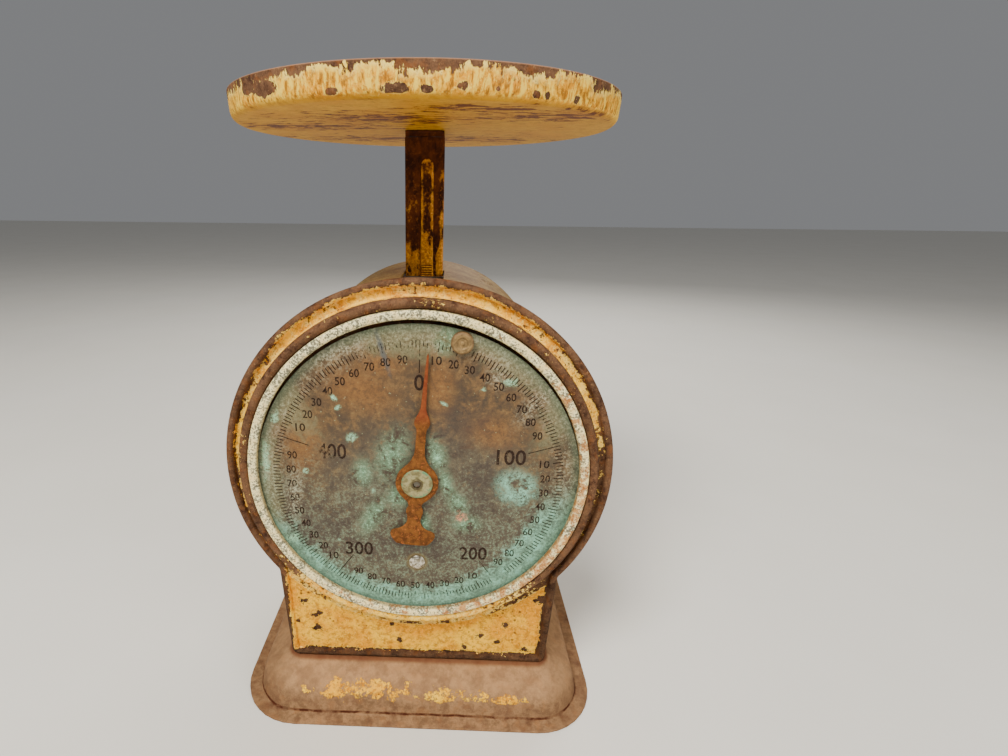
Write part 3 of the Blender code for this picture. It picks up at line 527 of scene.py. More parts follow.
crease = level.step(3.0, 2.2) * level.step(1.2, 1.7)
crease = crease * (0.35 + 0.65 * recipe.mottle(5, 5, (3, 3, 3)).step(0.36, 0.56))
skin.lay(crease, (70, 44, 32))
# Dark rust and painted shade along the base's top edge, where the case stands on it.
skin.lay(recipe.z.step(20.6, 21.8) * 0.7, (86, 48, 32))
edge = recipe.mottle(1.5, 6, (1, 1, 1), 0.72)
paint = (hold + (edge - 0.5) * 1.1).step(0.46, 0.56)
colour = recipe.blend(paint, skin, coat)
dress(recipe.finish(colour, 0.88 - 0.25 * paint, paint * 0.6 + rough_height * 0.5, depth=0.22),
      "base_pressing")

# %% [markdown]
# ## The case
#
# The case is a tunnel of thin sheet with a floor, closed at the back by a cover. Its
# outline is an arch on two legs that lean in a little. Here a circle loses its lower
# half, its two open ends are drawn down to the base and joined, and the outline is
# extruded backwards. The slot for the stem is cut by slicing the roof and deleting
# what lies between the slices. It is open at the front, so that the stem could be put
# in before the front cover closed it.

# %% Case outline
case_radius, case_arch, case_foot, case_floor = 72.5, 154.5, 67.5, 22.3
case_front, case_rear = -55.5, 57.0


def tombstone(shape, inset, y):
    """The case's outline, as a loop of edges on the plane at y."""
    made = bmesh.ops.create_circle(shape, segments=120, radius=(case_radius - inset) * mm)
    bmesh.ops.rotate(shape, verts=made["verts"], cent=(0, 0, 0), matrix=Matrix.Rotation(math.pi / 2, 3, "X"))
    move(shape, made["verts"], 0, y, case_arch)
    low = [vert for vert in made["verts"] if vert.co.z < (case_arch - 0.01) * mm]
    bmesh.ops.delete(shape, geom=low, context="VERTS")
    arch = [vert for vert in made["verts"] if vert.is_valid]
    ends = [vert for vert in arch if len(vert.link_edges) == 1]
    feet = bmesh.ops.extrude_vert_indiv(shape, verts=ends)["verts"]
    for foot in feet:
        side = math.copysign(case_foot - inset, foot.co.x)
        foot.co = Vector((side, y, case_floor + inset)) * mm
    floor = shape.edges.new(feet)
    loop = {floor}
    for vert in arch + feet:
        loop.update(vert.link_edges)
    return list(loop)


shape = bmesh.new()
front_loop = tombstone(shape, 0, case_front)
made = bmesh.ops.extrude_edge_only(shape, edges=front_loop)["geom"]
moved = [item for item in made if isinstance(item, bmesh.types.BMVert)]
move(shape, moved, 0, case_rear - case_front, 0)
rear_loop = [item for item in made if isinstance(item, bmesh.types.BMEdge)]
flange = tombstone(shape, 9.0, case_rear)
bmesh.ops.bridge_loops(shape, edges=rear_loop + flange)
slot_side, slot_rear = 10.65, 8.9
for place, normal in (((-slot_side, 0, 0), (1, 0, 0)), ((slot_side, 0, 0), (1, 0, 0)),
                      ((0, slot_rear, 0), (0, 1, 0))):
    bmesh.ops.bisect_plane(shape, geom=shape.verts[:] + shape.edges[:] + shape.faces[:],
                           plane_co=Vector(place) * mm, plane_no=normal)
roof = []
for face in shape.faces:
    middle = face.calc_center_median() / mm
    if abs(middle.x) < slot_side and middle.y < slot_rear and middle.z > case_arch:
        roof.append(face)
bmesh.ops.delete(shape, geom=roof, context="FACES")
thicken(shape, 0.9)
piece_from(shape, "case_sheet", "case", ("body_shell",), sharp=40)

# %% Rear cover
rear_start, rear_thick = 57.3, 1.2
shape = bmesh.new()
loop = tombstone(shape, 0, rear_start)
made = bmesh.ops.contextual_create(shape, geom=loop)["faces"]
bmesh.ops.recalc_face_normals(shape, faces=shape.faces)
pull(shape, made, (0, rear_thick, 0))
ease(shape, edges_where(shape, lambda place: place.y > rear_start + 0.9 * rear_thick), 0.35, 3, "EDGES")
piece_from(shape, "rear_sheet", "case", ("rear_cover",))

# %% Case finish: dusty olive enamel, rusted towards its edges
recipe = Recipe("case_dusty_enamel")
broad = recipe.mottle(15, 4, (2, 2, 9), stretch=(1, 2.2, 1))
low = recipe.z.step(75, 26)
seam = abs(recipe.y).step(50, 57)
hold = 0.90 - 0.42 * low - 0.20 * seam + (broad - 0.5) * 1.3
case_finish = worn_paint(recipe, hold, shift=(7, 0, 3), dusty=0.6, pale=(174, 154, 106),
                         deep=(138, 116, 74), stained=(126, 98, 58), bright=(192, 174, 126))
dress(case_finish, "case_sheet")
recipe = Recipe("rear_cover_enamel")
broad = recipe.mottle(17, 4, (9, 2, 4))
low = recipe.z.step(85, 22)
hold = 0.90 - 0.40 * low + (broad - 0.5) * 1.4
rear_finish = worn_paint(recipe, hold, shift=(1, 4, 3), dusty=0.5, pale=(204, 178, 118),
                         deep=(170, 138, 80), stained=(150, 112, 62), bright=(226, 204, 146))
dress(rear_finish, "rear_sheet")

# %% [markdown]
# ## The front cover
#
# The cover is the showpiece: a keyhole of sheet with its edge rolled to a bead all
# round, and a raised ring that holds the bezel. The outline starts as a circle, loses
# the arc above the neck, and gets the neck's two sides and foot. Insetting its face
# step by step, each time with a bit of depth, rolls the edge. The window ring is a
# spun profile, and the flat plate between the two is filled in.

# %% Keyhole outline
cover_radius, roll_radius = 93.44, 1.9
neck_top, neck_top_height, neck_foot, neck_low = 71.2, 73.5, 69.9, 22.3
outline_y = -58.7


def neck_side(height):
    return neck_foot + (neck_top - neck_foot) * (height - neck_low) / (neck_top_height - neck_low)


shape = bmesh.new()
circle = bmesh.ops.create_circle(shape, segments=240, radius=cover_radius * mm)["verts"]
face_front(shape, Vector((0, outline_y * mm, window.z)))
gone = [vert for vert in circle if vert.co.z < window.z and abs(vert.co.x) < neck_side(vert.co.z / mm) * mm]
bmesh.ops.delete(shape, geom=gone, context="VERTS")
ends = [vert for vert in shape.verts if len(vert.link_edges) == 1]
junctions = ends[:]
feet = bmesh.ops.extrude_vert_indiv(shape, verts=ends)["verts"]
for foot in feet:
    foot.co = Vector((math.copysign(neck_foot, foot.co.x), outline_y, neck_low)) * mm
shape.edges.new(feet)
bmesh.ops.contextual_create(shape, geom=shape.edges[:])
ease(shape, feet, 4.0, 8)
ease(shape, junctions, 1.2, 6)
print("keyhole outline:", len(shape.verts), "points")

# %% Rolled edge: the outline is inset step by step, on both sides
front = shape.faces[:][0]
if front.normal.y > 0:
    front.normal_flip()
pull(shape, [front], (0, -0.15, 0))
bmesh.ops.recalc_face_normals(shape, faces=shape.faces)
flats = [face for face in shape.faces if len(face.verts) > 20]
front = min(flats, key=lambda face: face.calc_center_median().y)
back = max(flats, key=lambda face: face.calc_center_median().y)


def roll_edge(face, stop, steps):
    """Insets a face round a quarter or half circle of the roll."""
    last = (0.0, 0.0)
    for number in range(1, steps + 1):
        angle = stop * number / steps
        inward = roll_radius * (1 - math.cos(angle))
        rise = roll_radius * math.sin(angle)
        bmesh.ops.inset_region(shape, faces=[face], thickness=(inward - last[0]) * mm,
                               depth=(rise - last[1]) * mm, use_boundary=True, use_even_offset=True)
        last = (inward, rise)


roll_edge(front, math.radians(168), 9)
plate_front = front.calc_center_median().y / mm
plate_lies = 58.3
bmesh.ops.inset_region(shape, faces=[front], thickness=0.12 * mm, depth=(plate_lies + plate_front) * mm,
                       use_boundary=True, use_even_offset=True)
roll_edge(back, math.radians(90), 5)
bmesh.ops.inset_region(shape, faces=[back], thickness=1.0 * mm, depth=-0.2 * mm, use_boundary=True,
                       use_even_offset=True)
print("plate front at y", round(front.calc_center_median().y / mm, 2), "and back at y",
      round(back.calc_center_median().y / mm, 2))

# %% Window ring, joined to the plate
plate_y = -front.calc_center_median().y / mm
back_y = -back.calc_center_median().y / mm
ring = spun([(86.8, plate_y, 0), (85.5, plate_y, 1.0), (85.44, 65.4, 1.3), (83.3, 66.35, 1.2),
             (81.04, 65.0, 0.7), (81.04, 63.5, 0.2), (80.14, 63.4, 0.2), (80.14, back_y, 0)], steps=240)
face_front(ring, window)
bmesh.ops.delete(shape, geom=[front, back], context="FACES_ONLY")
add_shape(shape, ring)
# The fill has a fixed tolerance that is coarse for thin strips, so it works on a shape
# that is a thousand times larger for a moment.
bmesh.ops.scale(shape, vec=(1 / mm, 1 / mm, 1 / mm), verts=shape.verts)
for y in (plate_y, back_y):
    rims = [edge for edge in shape.edges if edge.is_boundary
            and all(abs(vert.co.y + y) < 0.02 for vert in edge.verts)]
    bmesh.ops.triangle_fill(shape, use_beauty=True, use_dissolve=False, edges=rims)
bmesh.ops.scale(shape, vec=(mm, mm, mm), verts=shape.verts)
# Along the neck the roll is pressed almost flat.
flat_below, flat_over, flatness, ring_reach = 84, 12, 0.7, 87
for vert in shape.verts:
    flat = min(1, max(0, (flat_below * mm - vert.co.z) / (flat_over * mm)))
    if vert.co.y < -plate_y and (vert.co.xz - window.xz).length > ring_reach * mm:
        vert.co.y = -plate_y + (vert.co.y + plate_y) * (1 - flatness * flat)
piece_from(shape, "front_pressing", "case", ("front_cover",), sharp=45)

# %% [markdown]
# The enamel on the cover has gone from every crest: the rolled edge and the window ring
# are brown, and paint stays in the valley between them and on the flat neck. So the
# mask needs the distance from the keyhole's outline. The keyhole is a circle and a
# neck joined, so that distance is the larger of the two shapes' own distances.

# %% Cover finish
recipe = Recipe("cover_enamel_and_rust")
from_middle = recipe.oval((0, 0, window_up), (1, None, 1))
side = 69.33 + 0.0254 * recipe.z + 2.4 * recipe.x.step(10, -50)
in_circle = cover_radius - from_middle
in_neck = recipe.smaller(side - abs(recipe.x), recipe.smaller(recipe.z - neck_low, 105 - recipe.z))
inside = recipe.larger(in_circle, in_neck)
across = recipe.x / from_middle
upward = (recipe.z - window_up) / from_middle
lower_right = across.step(0.30, 0.75) * upward.step(0.45, 0.0)
broad = recipe.mottle(10, 5, (1, 0, 6), 0.6)
ragged = recipe.mottle(2.6, 6, (4, 0, 1), 0.66)
spikes = recipe.mottle(1.1, 5, (2, 0, 3), 0.7, stretch=(1, 1, 2.4))
wander = (ragged - 0.5) * 13 + (broad - 0.5) * 9 + (spikes - 0.5) * 9
neck = in_circle.step(0.2, -0.6)
top = upward.step(0.35, 0.95)
start = 4.2 - 1.5 * top
past_roll = (inside + wander * (0.40 - 0.1 * neck)).step(start - 0.6, start + 0.8)
on_ring = from_middle.step(87.4, 86.6)
crest = (-1 * recipe.y + wander * 0.30).step(60.2, 62.4) * on_ring
low_ring = on_ring * upward.step(-0.45, -0.80)
hold = past_roll * (0.66 + 0.12 * top + 0.34 * neck - 0.30 * lower_right * (1 - neck))
hold = hold - crest * (0.52 - 0.60 * low_ring)
hold = hold + (broad - 0.5) * 1.3 * (1 - 0.8 * recipe.larger(neck, low_ring))
knocks = recipe.patches([((x, 0, z), (reach, None, reach * 0.8)) for x, z,
                         reach in ((-61, 58, 2.0), (-56, 48, 1.8), (-53, 50, 1.5), (-55, 40, 2.4),
                                   (-66, 44, 1.2), (-41, 24, 1.6), (65, 63, 2.6), (59, 29, 1.8),
                                   (-10, 33, 1.6), (34, 38, 1.8), (-17, 48, 1.3), (-14, 44, 1.2),
                                   (48, 46, 2.0), (26, 30, 1.4), (44, 34, 1.6))], (ragged - 0.5) * 5.5,
                        soft=0.3)
hold = hold - knocks * neck * 1.0
# The rust is darkened a little over the whole cover and more along the neck, where the darkening is partly
# painted shade.
cover_finish = worn_paint(recipe, hold, shift=(0, 5, 8), dusty=0.3, darker=0.12 + 0.38 * neck,
                          pale=(250, 212, 78), deep=(226, 174, 40))
dress(cover_finish, "front_pressing")

# %% [markdown]
# ## Bezel, dial and what turns on it
#
# These are all turned parts, so each is one profile spun round its axis. The bezel's
# middle lies a little above the dial's axis, as on the real scale, which is why the
# gap round the dial is wider at the top.

# %% Bezel
shape = spun([(76.44, 65.3, 0.3), (76.9, 66.3, 0.4), (78.3, 66.93, 0.6), (80.1, 66.85, 0.5),
              (80.74, 66.1, 0.3), (80.74, 63.75, 0), (76.44, 63.75, 0)], steps=200, closed=True)
piece_from(face_front(shape, window), "bezel_ring", "case", ("bezel",), sharp=50)
recipe = Recipe("bezel_nickel")
speck = recipe.mottle(1.0, 5, (2, 5, 1), 0.72)
cloud = recipe.mottle(6, 5, (6, 1, 2), 0.6)
across = (recipe.x * 0.8 - (recipe.z - window_up) * 0.6) / 80
colour = recipe.blend(cloud.step(0.35, 0.65), (246, 230, 184), (255, 250, 214))
colour.lay((speck + cloud * 0.5).step(0.73, 0.81) * 0.9, (88, 86, 78))
colour.lay(speck.step(0.42, 0.30), (255, 250, 220))
# Painted reflection: orange patches, more of them towards the lower right, stand for warm reflections in the
# ring.
orange = (recipe.mottle(4, 6, (9, 9, 9), 0.65) + across * 0.14).step(0.56, 0.70)
colour.lay(orange * 0.75, (178, 128, 70))
# Painted shade: the ring's sides behind its front face are darkened, where it sits in the cover and over the
# dial.
bezel_side_shade = recipe.y.step(-66.2, -65.3)
colour.lay(bezel_side_shade * 0.6, (104, 88, 60))
dress(recipe.finish(colour, 0.42 + 0.3 * speck, speck, depth=0.12, metallic=0.0), "bezel_ring")

# %% Drum back and dial
shape = spun([(10, 56.6, 0), (86.3, 56.6, 0.1), (86.3, 55.8, 0.1), (10, 55.8, 0)], steps=120, closed=True)
piece_from(face_front(shape, axis), "drum_sheet", "case", ("drum_back",))
shape = spun([(6.3, 62.9, 0), (77.0, 62.9, 0.15), (77.0, 62.1, 0.15), (6.3, 62.1, 0)], steps=200,
             closed=True)
piece_from(face_front(shape, axis), "dial_face", "dial", ("dial_plate",))
recipe = Recipe("drum_sheet_rust")
colour, height = rust(recipe, shift=(3, 3, 3), dusty=0.2)
dress(recipe.finish(colour, 0.88, height, depth=0.15), "drum_sheet")

# %% [markdown]
# The dial is brass sheet whose lacquer has failed. Air and damp have turned most of it
# brown, the middle a dull purple-grey, and verdigris has crept in from the lower rim
# and round the hub. Its finish is a stack of these layers: broad tones first, then the
# turquoise band, then single blooms placed where the photograph has them, and last a
# fine speckle over all. Each layer's rim is made ragged by the same few noises.

# %% Dial finish: tones and verdigris
def dial_spot(across, height, reach, tall=None, turn=0):
    """An oval on the dial, from its place in millimetres from the dial's axis."""
    return (across, 0, axis_up + height), (reach, None, tall or reach), turn


def dial_patches(rows, ragged, soft=0.3):
    return recipe.patches([dial_spot(*row) for row in rows], ragged, soft)


recipe = Recipe("dial_brass_and_verdigris")
broad = recipe.mottle(15, 5, (2, 0, 7), 0.6)
cloud = recipe.mottle(5, 7, (8, 0, 3), 0.68, warp=0.4)
fine = recipe.mottle(1.4, 7, (4, 0, 4), 0.76)
grain = recipe.mottle(0.5, 4, (1, 0, 9), 0.7)
radius = recipe.oval((0, 0, axis_up), (1, None, 1))
height = recipe.z - axis_up
ragged = (cloud - 0.5) * 3.4 + (fine - 0.5) * 1.8

brown = recipe.blend(cloud.step(0.38, 0.62), (70, 60, 46), (112, 93, 66))
grey = recipe.blend(cloud.step(0.30, 0.72), (70, 63, 56), (98, 95, 82))
centre = dial_patches([(3, -10, 50, 42)], ragged * 0.5, 0.4)
lower = (height + (broad - 0.5) * 70).step(14, -24)
colour = recipe.blend(recipe.larger(centre * 0.85, lower * 0.9), brown, grey)
ochre = dial_patches([(-26, 46, 14, 9, 20), (-17, 58, 9, 5), (9, 48, 6, 12), (34, 26, 10, 7),
                      (-54, 20, 8, 14)], ragged * 0.8, 0.7)
colour.lay(ochre * 0.6 * (0.5 + cloud), (138, 106, 62))
tarnish = recipe.mottle(2.4, 8, (3, 0, 5), 0.76)
colour.lay(tarnish.step(0.47, 0.60) * 0.55, (70, 58, 46))
colour.lay(tarnish.step(0.45, 0.32) * 0.45, (148, 128, 92))
olive = dial_patches([(-2, 70, 28, 8), (40, 62, 22, 7, 40), (66, 40, 7, 22, 20), (-64, 42, 8, 24, -35),
                      (-71, 0, 5, 26)], ragged * 0.8, 0.5)
colour.lay(olive * (0.35 + 0.5 * fine.step(0.36, 0.60)), (122, 120, 96))
teal_dust = (height + (broad - 0.5) * 60).step(30, -40) * (fine * 1.5 + cloud * 0.5).step(0.98, 1.14)
colour.lay(teal_dust * 0.55, (130, 146, 128))

lowness = recipe.x * 0.123 - height
band = (lowness + ragged * 9).step(6, 34)
band = band * (radius + 0.055 * recipe.x + ragged * 5).step(58.5, 67.0)
patina = recipe.blend((cloud * 0.7 + fine * 0.8).step(0.64, 0.86), (112, 134, 120), (150, 184, 166))
patina.lay(cloud.step(0.54, 0.66) * 0.6, (160, 206, 192))
colour.lay(band * 0.9, patina)
rim = (radius + ragged * 2).step(71.0, 76.5)
colour.lay(rim * 0.6, (98, 112, 96))

# %% Dial finish: single blooms, haze and speckle
mint = dial_patches([(-12, 13, 6.5, 11, 20), (-9.5, -9, 5, 5, -35), (-22, -20, 4, 10, 30),
                     (9, 14, 4, 8, -15), (14, -1, 3, 8, -20), (20, -12, 4, 6, -25), (13, 70, 4, 6, 35),
                     (24, -23, 6, 4), (-26, 4, 4, 6), (3, -24, 3, 5)], ragged * 1.3, 0.9)
colour.lay(mint * cloud.step(0.36, 0.58) * 0.7, (132, 162, 138))
colour.lay(mint * (fine + cloud * 0.4).step(0.72, 0.84) * 0.85, (176, 210, 184))
bloom_far = recipe.oval(*dial_spot(47.4, -0.8, 8.8, 9.8))
bloom = (bloom_far + ragged * 0.8).step(1.40, 0.70) * (bloom_far + ragged * 0.5).step(0.05, 0.70)
bloom = bloom * (cloud * 14 - height).step(-6, 10)
colour.lay(bloom * (fine + cloud * 0.5).step(0.58, 0.82) * 0.9, (160, 200, 182))
bright = dial_patches([(41.4, 51.3, 2.4, 1.7), (-30.7, 21.9, 1.9), (-38.8, 41.9, 1.8, 1.0, 40),
                       (-36.7, 37.1, 1.5, 0.9, -30), (-66.4, 31.7, 1.2, 2.4, 20), (-54.1, 3.9, 1.2),
                       (-39.3, -34.5, 0.9), (-21.5, -5.8, 1.3, 2.0), (12.2, 39.9, 1.6, 0.7, 30),
                       (29.4, 47.1, 1.2), (9.5, 12.5, 1.4, 2.4, -30), (-72.6, 8, 1.8, 9, 4),
                       (-62.7, -33.7, 3.0, 2.2)], ragged * 1.8, 0.6)
colour.lay(bright * (fine + cloud * 0.4).step(0.60, 0.72) * 0.9, (174, 208, 182))
haze = dial_patches([(-33, 65, 16, 4.5, -27), (55, 42, 5, 14, 38), (36, 54, 5, 6), (-60, -9, 4, 15, 6),
                     (-40, 62, 10, 5, -30)], ragged * 0.8, 0.7)
dusty_rim = (radius + ragged * 3).step(62, 72) * (1 - band)
haze = recipe.larger(haze, dusty_rim * 0.45)
colour.lay(haze * (fine + cloud * 0.5).step(0.70, 0.90) * 0.75, (186, 184, 164))
smear = dial_patches([(-15.3, 63.5, 1.2, 9.5, -17)], ragged * 0.6, 0.6)
colour.lay(smear * 0.8, (78, 82, 82))
bare = dial_patches([(21.8, -19.9, 3.0)], ragged, 0.5)
colour.lay(bare * fine.step(0.44, 0.56), (214, 160, 132))
soot = dial_patches([(-64.4, -31.4, 1.8), (0, -38, 30, 6), (20, 30, 14, 8), (30, -4, 8, 14),
                     (-48, -28, 12, 10)], ragged * 0.8, 0.7)
colour.lay(soot * 0.45, (58, 50, 46))
pale_specks = recipe.spots(3.0, (5, 0, 2))
colour.lay((pale_specks + fine * 0.6).step(0.40, 0.30) * 0.6, (180, 188, 160))
dark_specks = recipe.grit(2.0, 0.58, 0.68, (1, 0, 8))
colour.lay(dark_specks * 0.65 * (1 - band * 0.5), (52, 44, 38))
colour = recipe.shade(colour, fine * 1.25 + grain * 0.75 - 0.02)
seat = recipe.oval(*dial_spot(0, -46.5, 5.4))
colour.lay((seat + ragged * 0.1).step(1.15, 0.85) * 0.6, (116, 104, 72))
crust = recipe.larger(band, recipe.larger(mint, bloom))
dress(recipe.finish(colour, 0.55 + 0.35 * crust, crust * fine + 0.4 * fine + 0.2 * grain, depth=0.16,
                    metallic=0.08), "dial_face")

# %% [markdown]
# ## The print on the dial
#
# One turn of the pointer is 500 grams. Every second gram has a short tick, every tenth
# a longer one with a small upright number, and every hundredth a long line with a big
# number. The print lies on the brass as a very thin layer of ink, in one mesh. The
# numbers come from Blender's own font, which is made a mesh before it is placed.

# %% Ticks
dial_turned = 0.9
degrees_per_gram = 360 / 500
ink_height = 62.96
shape = bmesh.new()


def lay_tick(angle, inner, outer, width):
    bar = bmesh.ops.create_grid(shape, x_segments=1, y_segments=1, size=0.5)["verts"]
    bmesh.ops.scale(shape, vec=(width * mm, (outer - inner) * mm, 1), verts=bar)
    move(shape, bar, 0, (inner + outer) / 2, 0)
    bmesh.ops.rotate(shape, verts=bar, cent=(0, 0, 0), matrix=Matrix.Rotation(-math.radians(angle), 3, "Z"))


for grams in range(0, 500, 2):
    angle = dial_turned + grams * degrees_per_gram
    if grams % 100 == 0:
        lay_tick(angle, 54.5, 69.6, 0.42)
    elif grams % 10 == 0:
        lay_tick(angle, 65.0, 69.6, 0.50)
    else:
        lay_tick(angle, 66.3, 69.6, 0.46)
print("ticks:", len(shape.faces))


# %% Numbers
def lay_number(words, across, height, tall, wide):
    """Sets upright figures of a given height and width, centred on a place on the dial."""
    letters = bpy.data.curves.new("figures", "FONT")
    letters.body = words
    letters.offset = 0.012
    letters.resolution_u = 3
    thing = add_to_scene("figures", letters)
    bpy.context.view_layer.update()
    mesh = bpy.data.meshes.new_from_object(thing.evaluated_get(bpy.context.evaluated_depsgraph_get()))
    bpy.data.objects.remove(thing, do_unlink=True)
    figures = bmesh.new()
    figures.from_mesh(mesh)
    bpy.data.meshes.remove(mesh)
    low = [min(vert.co[way] for vert in figures.verts) for way in (0, 1)]
    high = [max(vert.co[way] for vert in figures.verts) for way in (0, 1)]
    bmesh.ops.translate(figures, vec=(-(low[0] + high[0]) / 2, -(low[1] + high[1]) / 2, 0),
                        verts=figures.verts)
    bmesh.ops.scale(figures, vec=(wide * mm / (high[0] - low[0]), tall * mm / (high[1] - low[1]), 1),
                    verts=figures.verts)
    move(figures, figures.verts, across, height, 0)
    add_shape(shape, figures)


small_orbit = 61.0
for grams in range(0, 500, 10):
    if grams % 100:
        angle = math.radians(dial_turned + grams * degrees_per_gram)
        lay_number(str(grams % 100), small_orbit * math.sin(angle), small_orbit * math.cos(angle), 4.0, 4.6)
for words, across, height, tall, wide in (("0", 0.8, 50.0, 7.7, 4.6), ("100", 44.3, 13.7, 8.0, 13.8),
                                          ("200", 28.2, -40.5, 7.6, 13.8), ("300", -29.3, -39.2, 7.6, 13.8),
                                          ("400", -40.6, 14.8, 8.0, 13.8)):
    lay_number(words, across, height, tall, wide)
move(shape, shape.verts, 0, 0, ink_height)
face_front(shape, axis)
facing_back = [face for face in shape.faces if face.normal.y > 0]
bmesh.ops.reverse_faces(shape, faces=facing_back)
mesh = bpy.data.meshes.new("dial_print")
shape.to_mesh(mesh)
shape.free()
ink_layer = add_to_scene("dial_print", mesh)
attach(ink_layer, "dial")
PIECES["dial_print"] = ink_layer
print("print:", len(mesh.polygons), "faces")

# %% Ink finish: faded, and eaten away where the verdigris is thick
recipe = Recipe("faded_ink")
wear = recipe.mottle(1.1, 6, (2, 0, 2), 0.75)
patch = recipe.mottle(6, 3, (7, 0, 5))
eaten = dial_patches([(-10, 68, 24, 8), (-46, 12, 5, 6), (21, 68, 7, 7), (44, -56, 12, 9, 40),
                      (10, -70, 20, 5)], (patch - 0.5) * 1.2)
kept = (wear + patch * 0.7 - eaten * 0.18).step(0.62, 0.78)
tone = recipe.blend(patch, (40, 32, 28), (62, 52, 46))
ink = recipe.finish(tone, 0.7)
recipe.tree.links.new((kept * 0.88).socket, recipe.shader.inputs["Alpha"])
dress(ink, "dial_print")

# %% Hub, knob and screw
shape = spun([(1.8, 67.2, 0.1), (2.7, 67.15, 0.35), (2.75, 66.35, 0.15), (7.2, 66.3, 0.35),
              (7.5, 66.0, 0.2), (7.5, 65.6, 0), (1.8, 65.6, 0)], steps=72, closed=True)
piece_from(face_front(shape, axis), "hub_washer", "pointer", ("pointer_washer",), sharp=40)


def on_dial(orbit, angle):
    turn = math.radians(angle)
    return axis + Vector((orbit * math.sin(turn), 0, orbit * math.cos(turn))) * mm


knob_place = on_dial(71.8, 15.9)
shape = spun([(0, 65.85, 0), (0.9, 65.85, 0.1), (1.1, 65.5, 0.1), (2.2, 65.55, 0.15), (3.0, 66.1, 0.3),
              (4.5, 66.15, 0.5), (5.0, 65.6, 0.3), (5.0, 63.2, 0.15), (1.5, 63.2, 0), (1.5, 61.8, 0),
              (3.0, 61.8, 0), (3.0, 61.0, 0), (0, 61.0, 0)], steps=64)
piece_from(face_front(shape, knob_place), "zero_knob", "dial", ("dial_knob",), sharp=40)
shape = spun([(0, 64.2, 0), (2.4, 64.08, 0.8), (4.0, 63.45, 0.15), (4.0, 63.2, 0), (1.5, 63.2, 0),
              (1.5, 60.5, 0), (3.0, 60.5, 0), (3.0, 59.7, 0), (0, 59.7, 0)], steps=48)
piece_from(face_front(shape, on_dial(46.5, 180)), "dial_rivet", "dial", ("dial_screw",), sharp=40)

# %% Finishes of hub, knob and screw
recipe = Recipe("hub_brass")
cloud = recipe.mottle(2.4, 5, (3, 1, 4), 0.65)
hub_radius = recipe.oval((0, 0, axis_up), (1, None, 1))
colour = recipe.blend(cloud.step(0.38, 0.62), (122, 116, 88), (176, 170, 138))
colour.lay((cloud + hub_radius.step(5.2, 7.4) * 0.16).step(0.62, 0.72), (120, 146, 118))
colour.lay(hub_radius.step(3.4, 2.4) * 0.75, (60, 48, 34))
dress(recipe.finish(colour, 0.42 + 0.3 * cloud, cloud, depth=0.12, metallic=0.55), "hub_washer")
recipe = Recipe("knob_brass")
cloud = recipe.mottle(2.0, 5, (1, 1, 7), 0.65)
rings = recipe.oval((knob_place.x / mm, 0, knob_place.z / mm), (1, None, 1))
groove = recipe.math("SINE", rings * 5.2)
colour = recipe.blend(cloud.step(0.36, 0.64), (116, 100, 72), (158, 138, 102))
colour.lay(rings.step(3.7, 4.9) * 0.5, (98, 76, 56))
# Painted shade and highlight: the turned grooves also darken and lighten the colour in rings.
colour = recipe.shade(colour, 0.93 + groove * 0.06)
dress(recipe.finish(colour, 0.50 + 0.25 * cloud, groove * 0.3 + cloud, depth=0.12, metallic=0.35),
      "zero_knob")


def plain_metal(name, noise, change, tones, roughness, depth, metallic, *pieces):
    """Old bare metal: its noise takes it from a sound tone to a worn one."""
    recipe = Recipe(name)
    cloud = recipe.mottle(*noise, rough=0.65)
    colour = recipe.blend(cloud.step(*change), *tones)
    dull, more = roughness
    dress(recipe.finish(colour, dull + more * cloud, cloud, depth, metallic), *pieces)


plain_metal("rivet_nickel", (1.6, 5, (4, 1, 1)), (0.40, 0.62), ((226, 222, 210), (128, 122, 108)),
            (0.16, 0.3), 0.05, 0.95, "dial_rivet")

# %% [markdown]
# ## The pointer
#
# The pointer was stamped from thin steel: a fine needle, a small swelling, a flat ring
# round the hub and a tail with two wings. One half of the outline is drawn as a chain
# of points, mirrored across the middle and filled, and the sharp stamped corners are
# eased by a bevel.

# %% Pointer outline and thickness
pointer_lean = math.radians(4.3)
pointer_half = ((0.0, 64.5), (0.45, 63.0), (0.8, 52.0), (1.05, 44.0), (1.25, 38.5), (1.9, 36.0),
                (2.9, 34.0), (3.6, 32.0), (3.7, 30.8), (3.2, 29.3), (2.45, 28.2), (2.25, 26.5),
                (2.3, 18.0), (2.6, 14.6), (3.6, 11.9), (5.4, 9.2), (7.6, 7.1), (9.3, 4.6), (10.2, 1.6),
                (10.2, -1.6), (9.3, -4.6), (7.4, -7.3), (5.4, -9.2), (3.8, -10.6), (3.2, -12.0),
                (3.3, -13.4), (4.1, -14.6), (4.2, -16.4), (3.5, -18.4), (3.2, -20.4), (3.6, -22.6),
                (5.0, -24.6), (7.0, -26.0), (9.2, -26.6), (10.8, -27.6), (11.2, -29.2), (10.4, -31.2),
                (9.0, -33.2), (7.2, -34.6), (3.6, -34.9), (0.0, -35.0))
pointer_height = 64.5
shape = bmesh.new()
half = [shape.verts.new((x * mm, z * mm, 0)) for x, z in pointer_half]
join(shape, half)
ease(shape, half[2:-1], 0.5, 3)
bmesh.ops.mirror(shape, geom=shape.verts[:] + shape.edges[:], matrix=Matrix.Identity(4),
                 merge_dist=0.01 * mm, axis="X")
bmesh.ops.remove_doubles(shape, verts=shape.verts, dist=0.01 * mm)
move(shape, shape.verts, 0, 0, pointer_height)
hole = bmesh.ops.create_circle(shape, segments=32, radius=1.8 * mm)["verts"]
move(shape, hole, 0, 0, pointer_height)
bmesh.ops.triangle_fill(shape, use_beauty=True, use_dissolve=False, edges=shape.edges[:])
pull(shape, shape.faces[:], (0, 0, 0.8))
bmesh.ops.recalc_face_normals(shape, faces=shape.faces)
lip = edges_where(shape, lambda place: place.z > 65.2, least_angle=1.2)
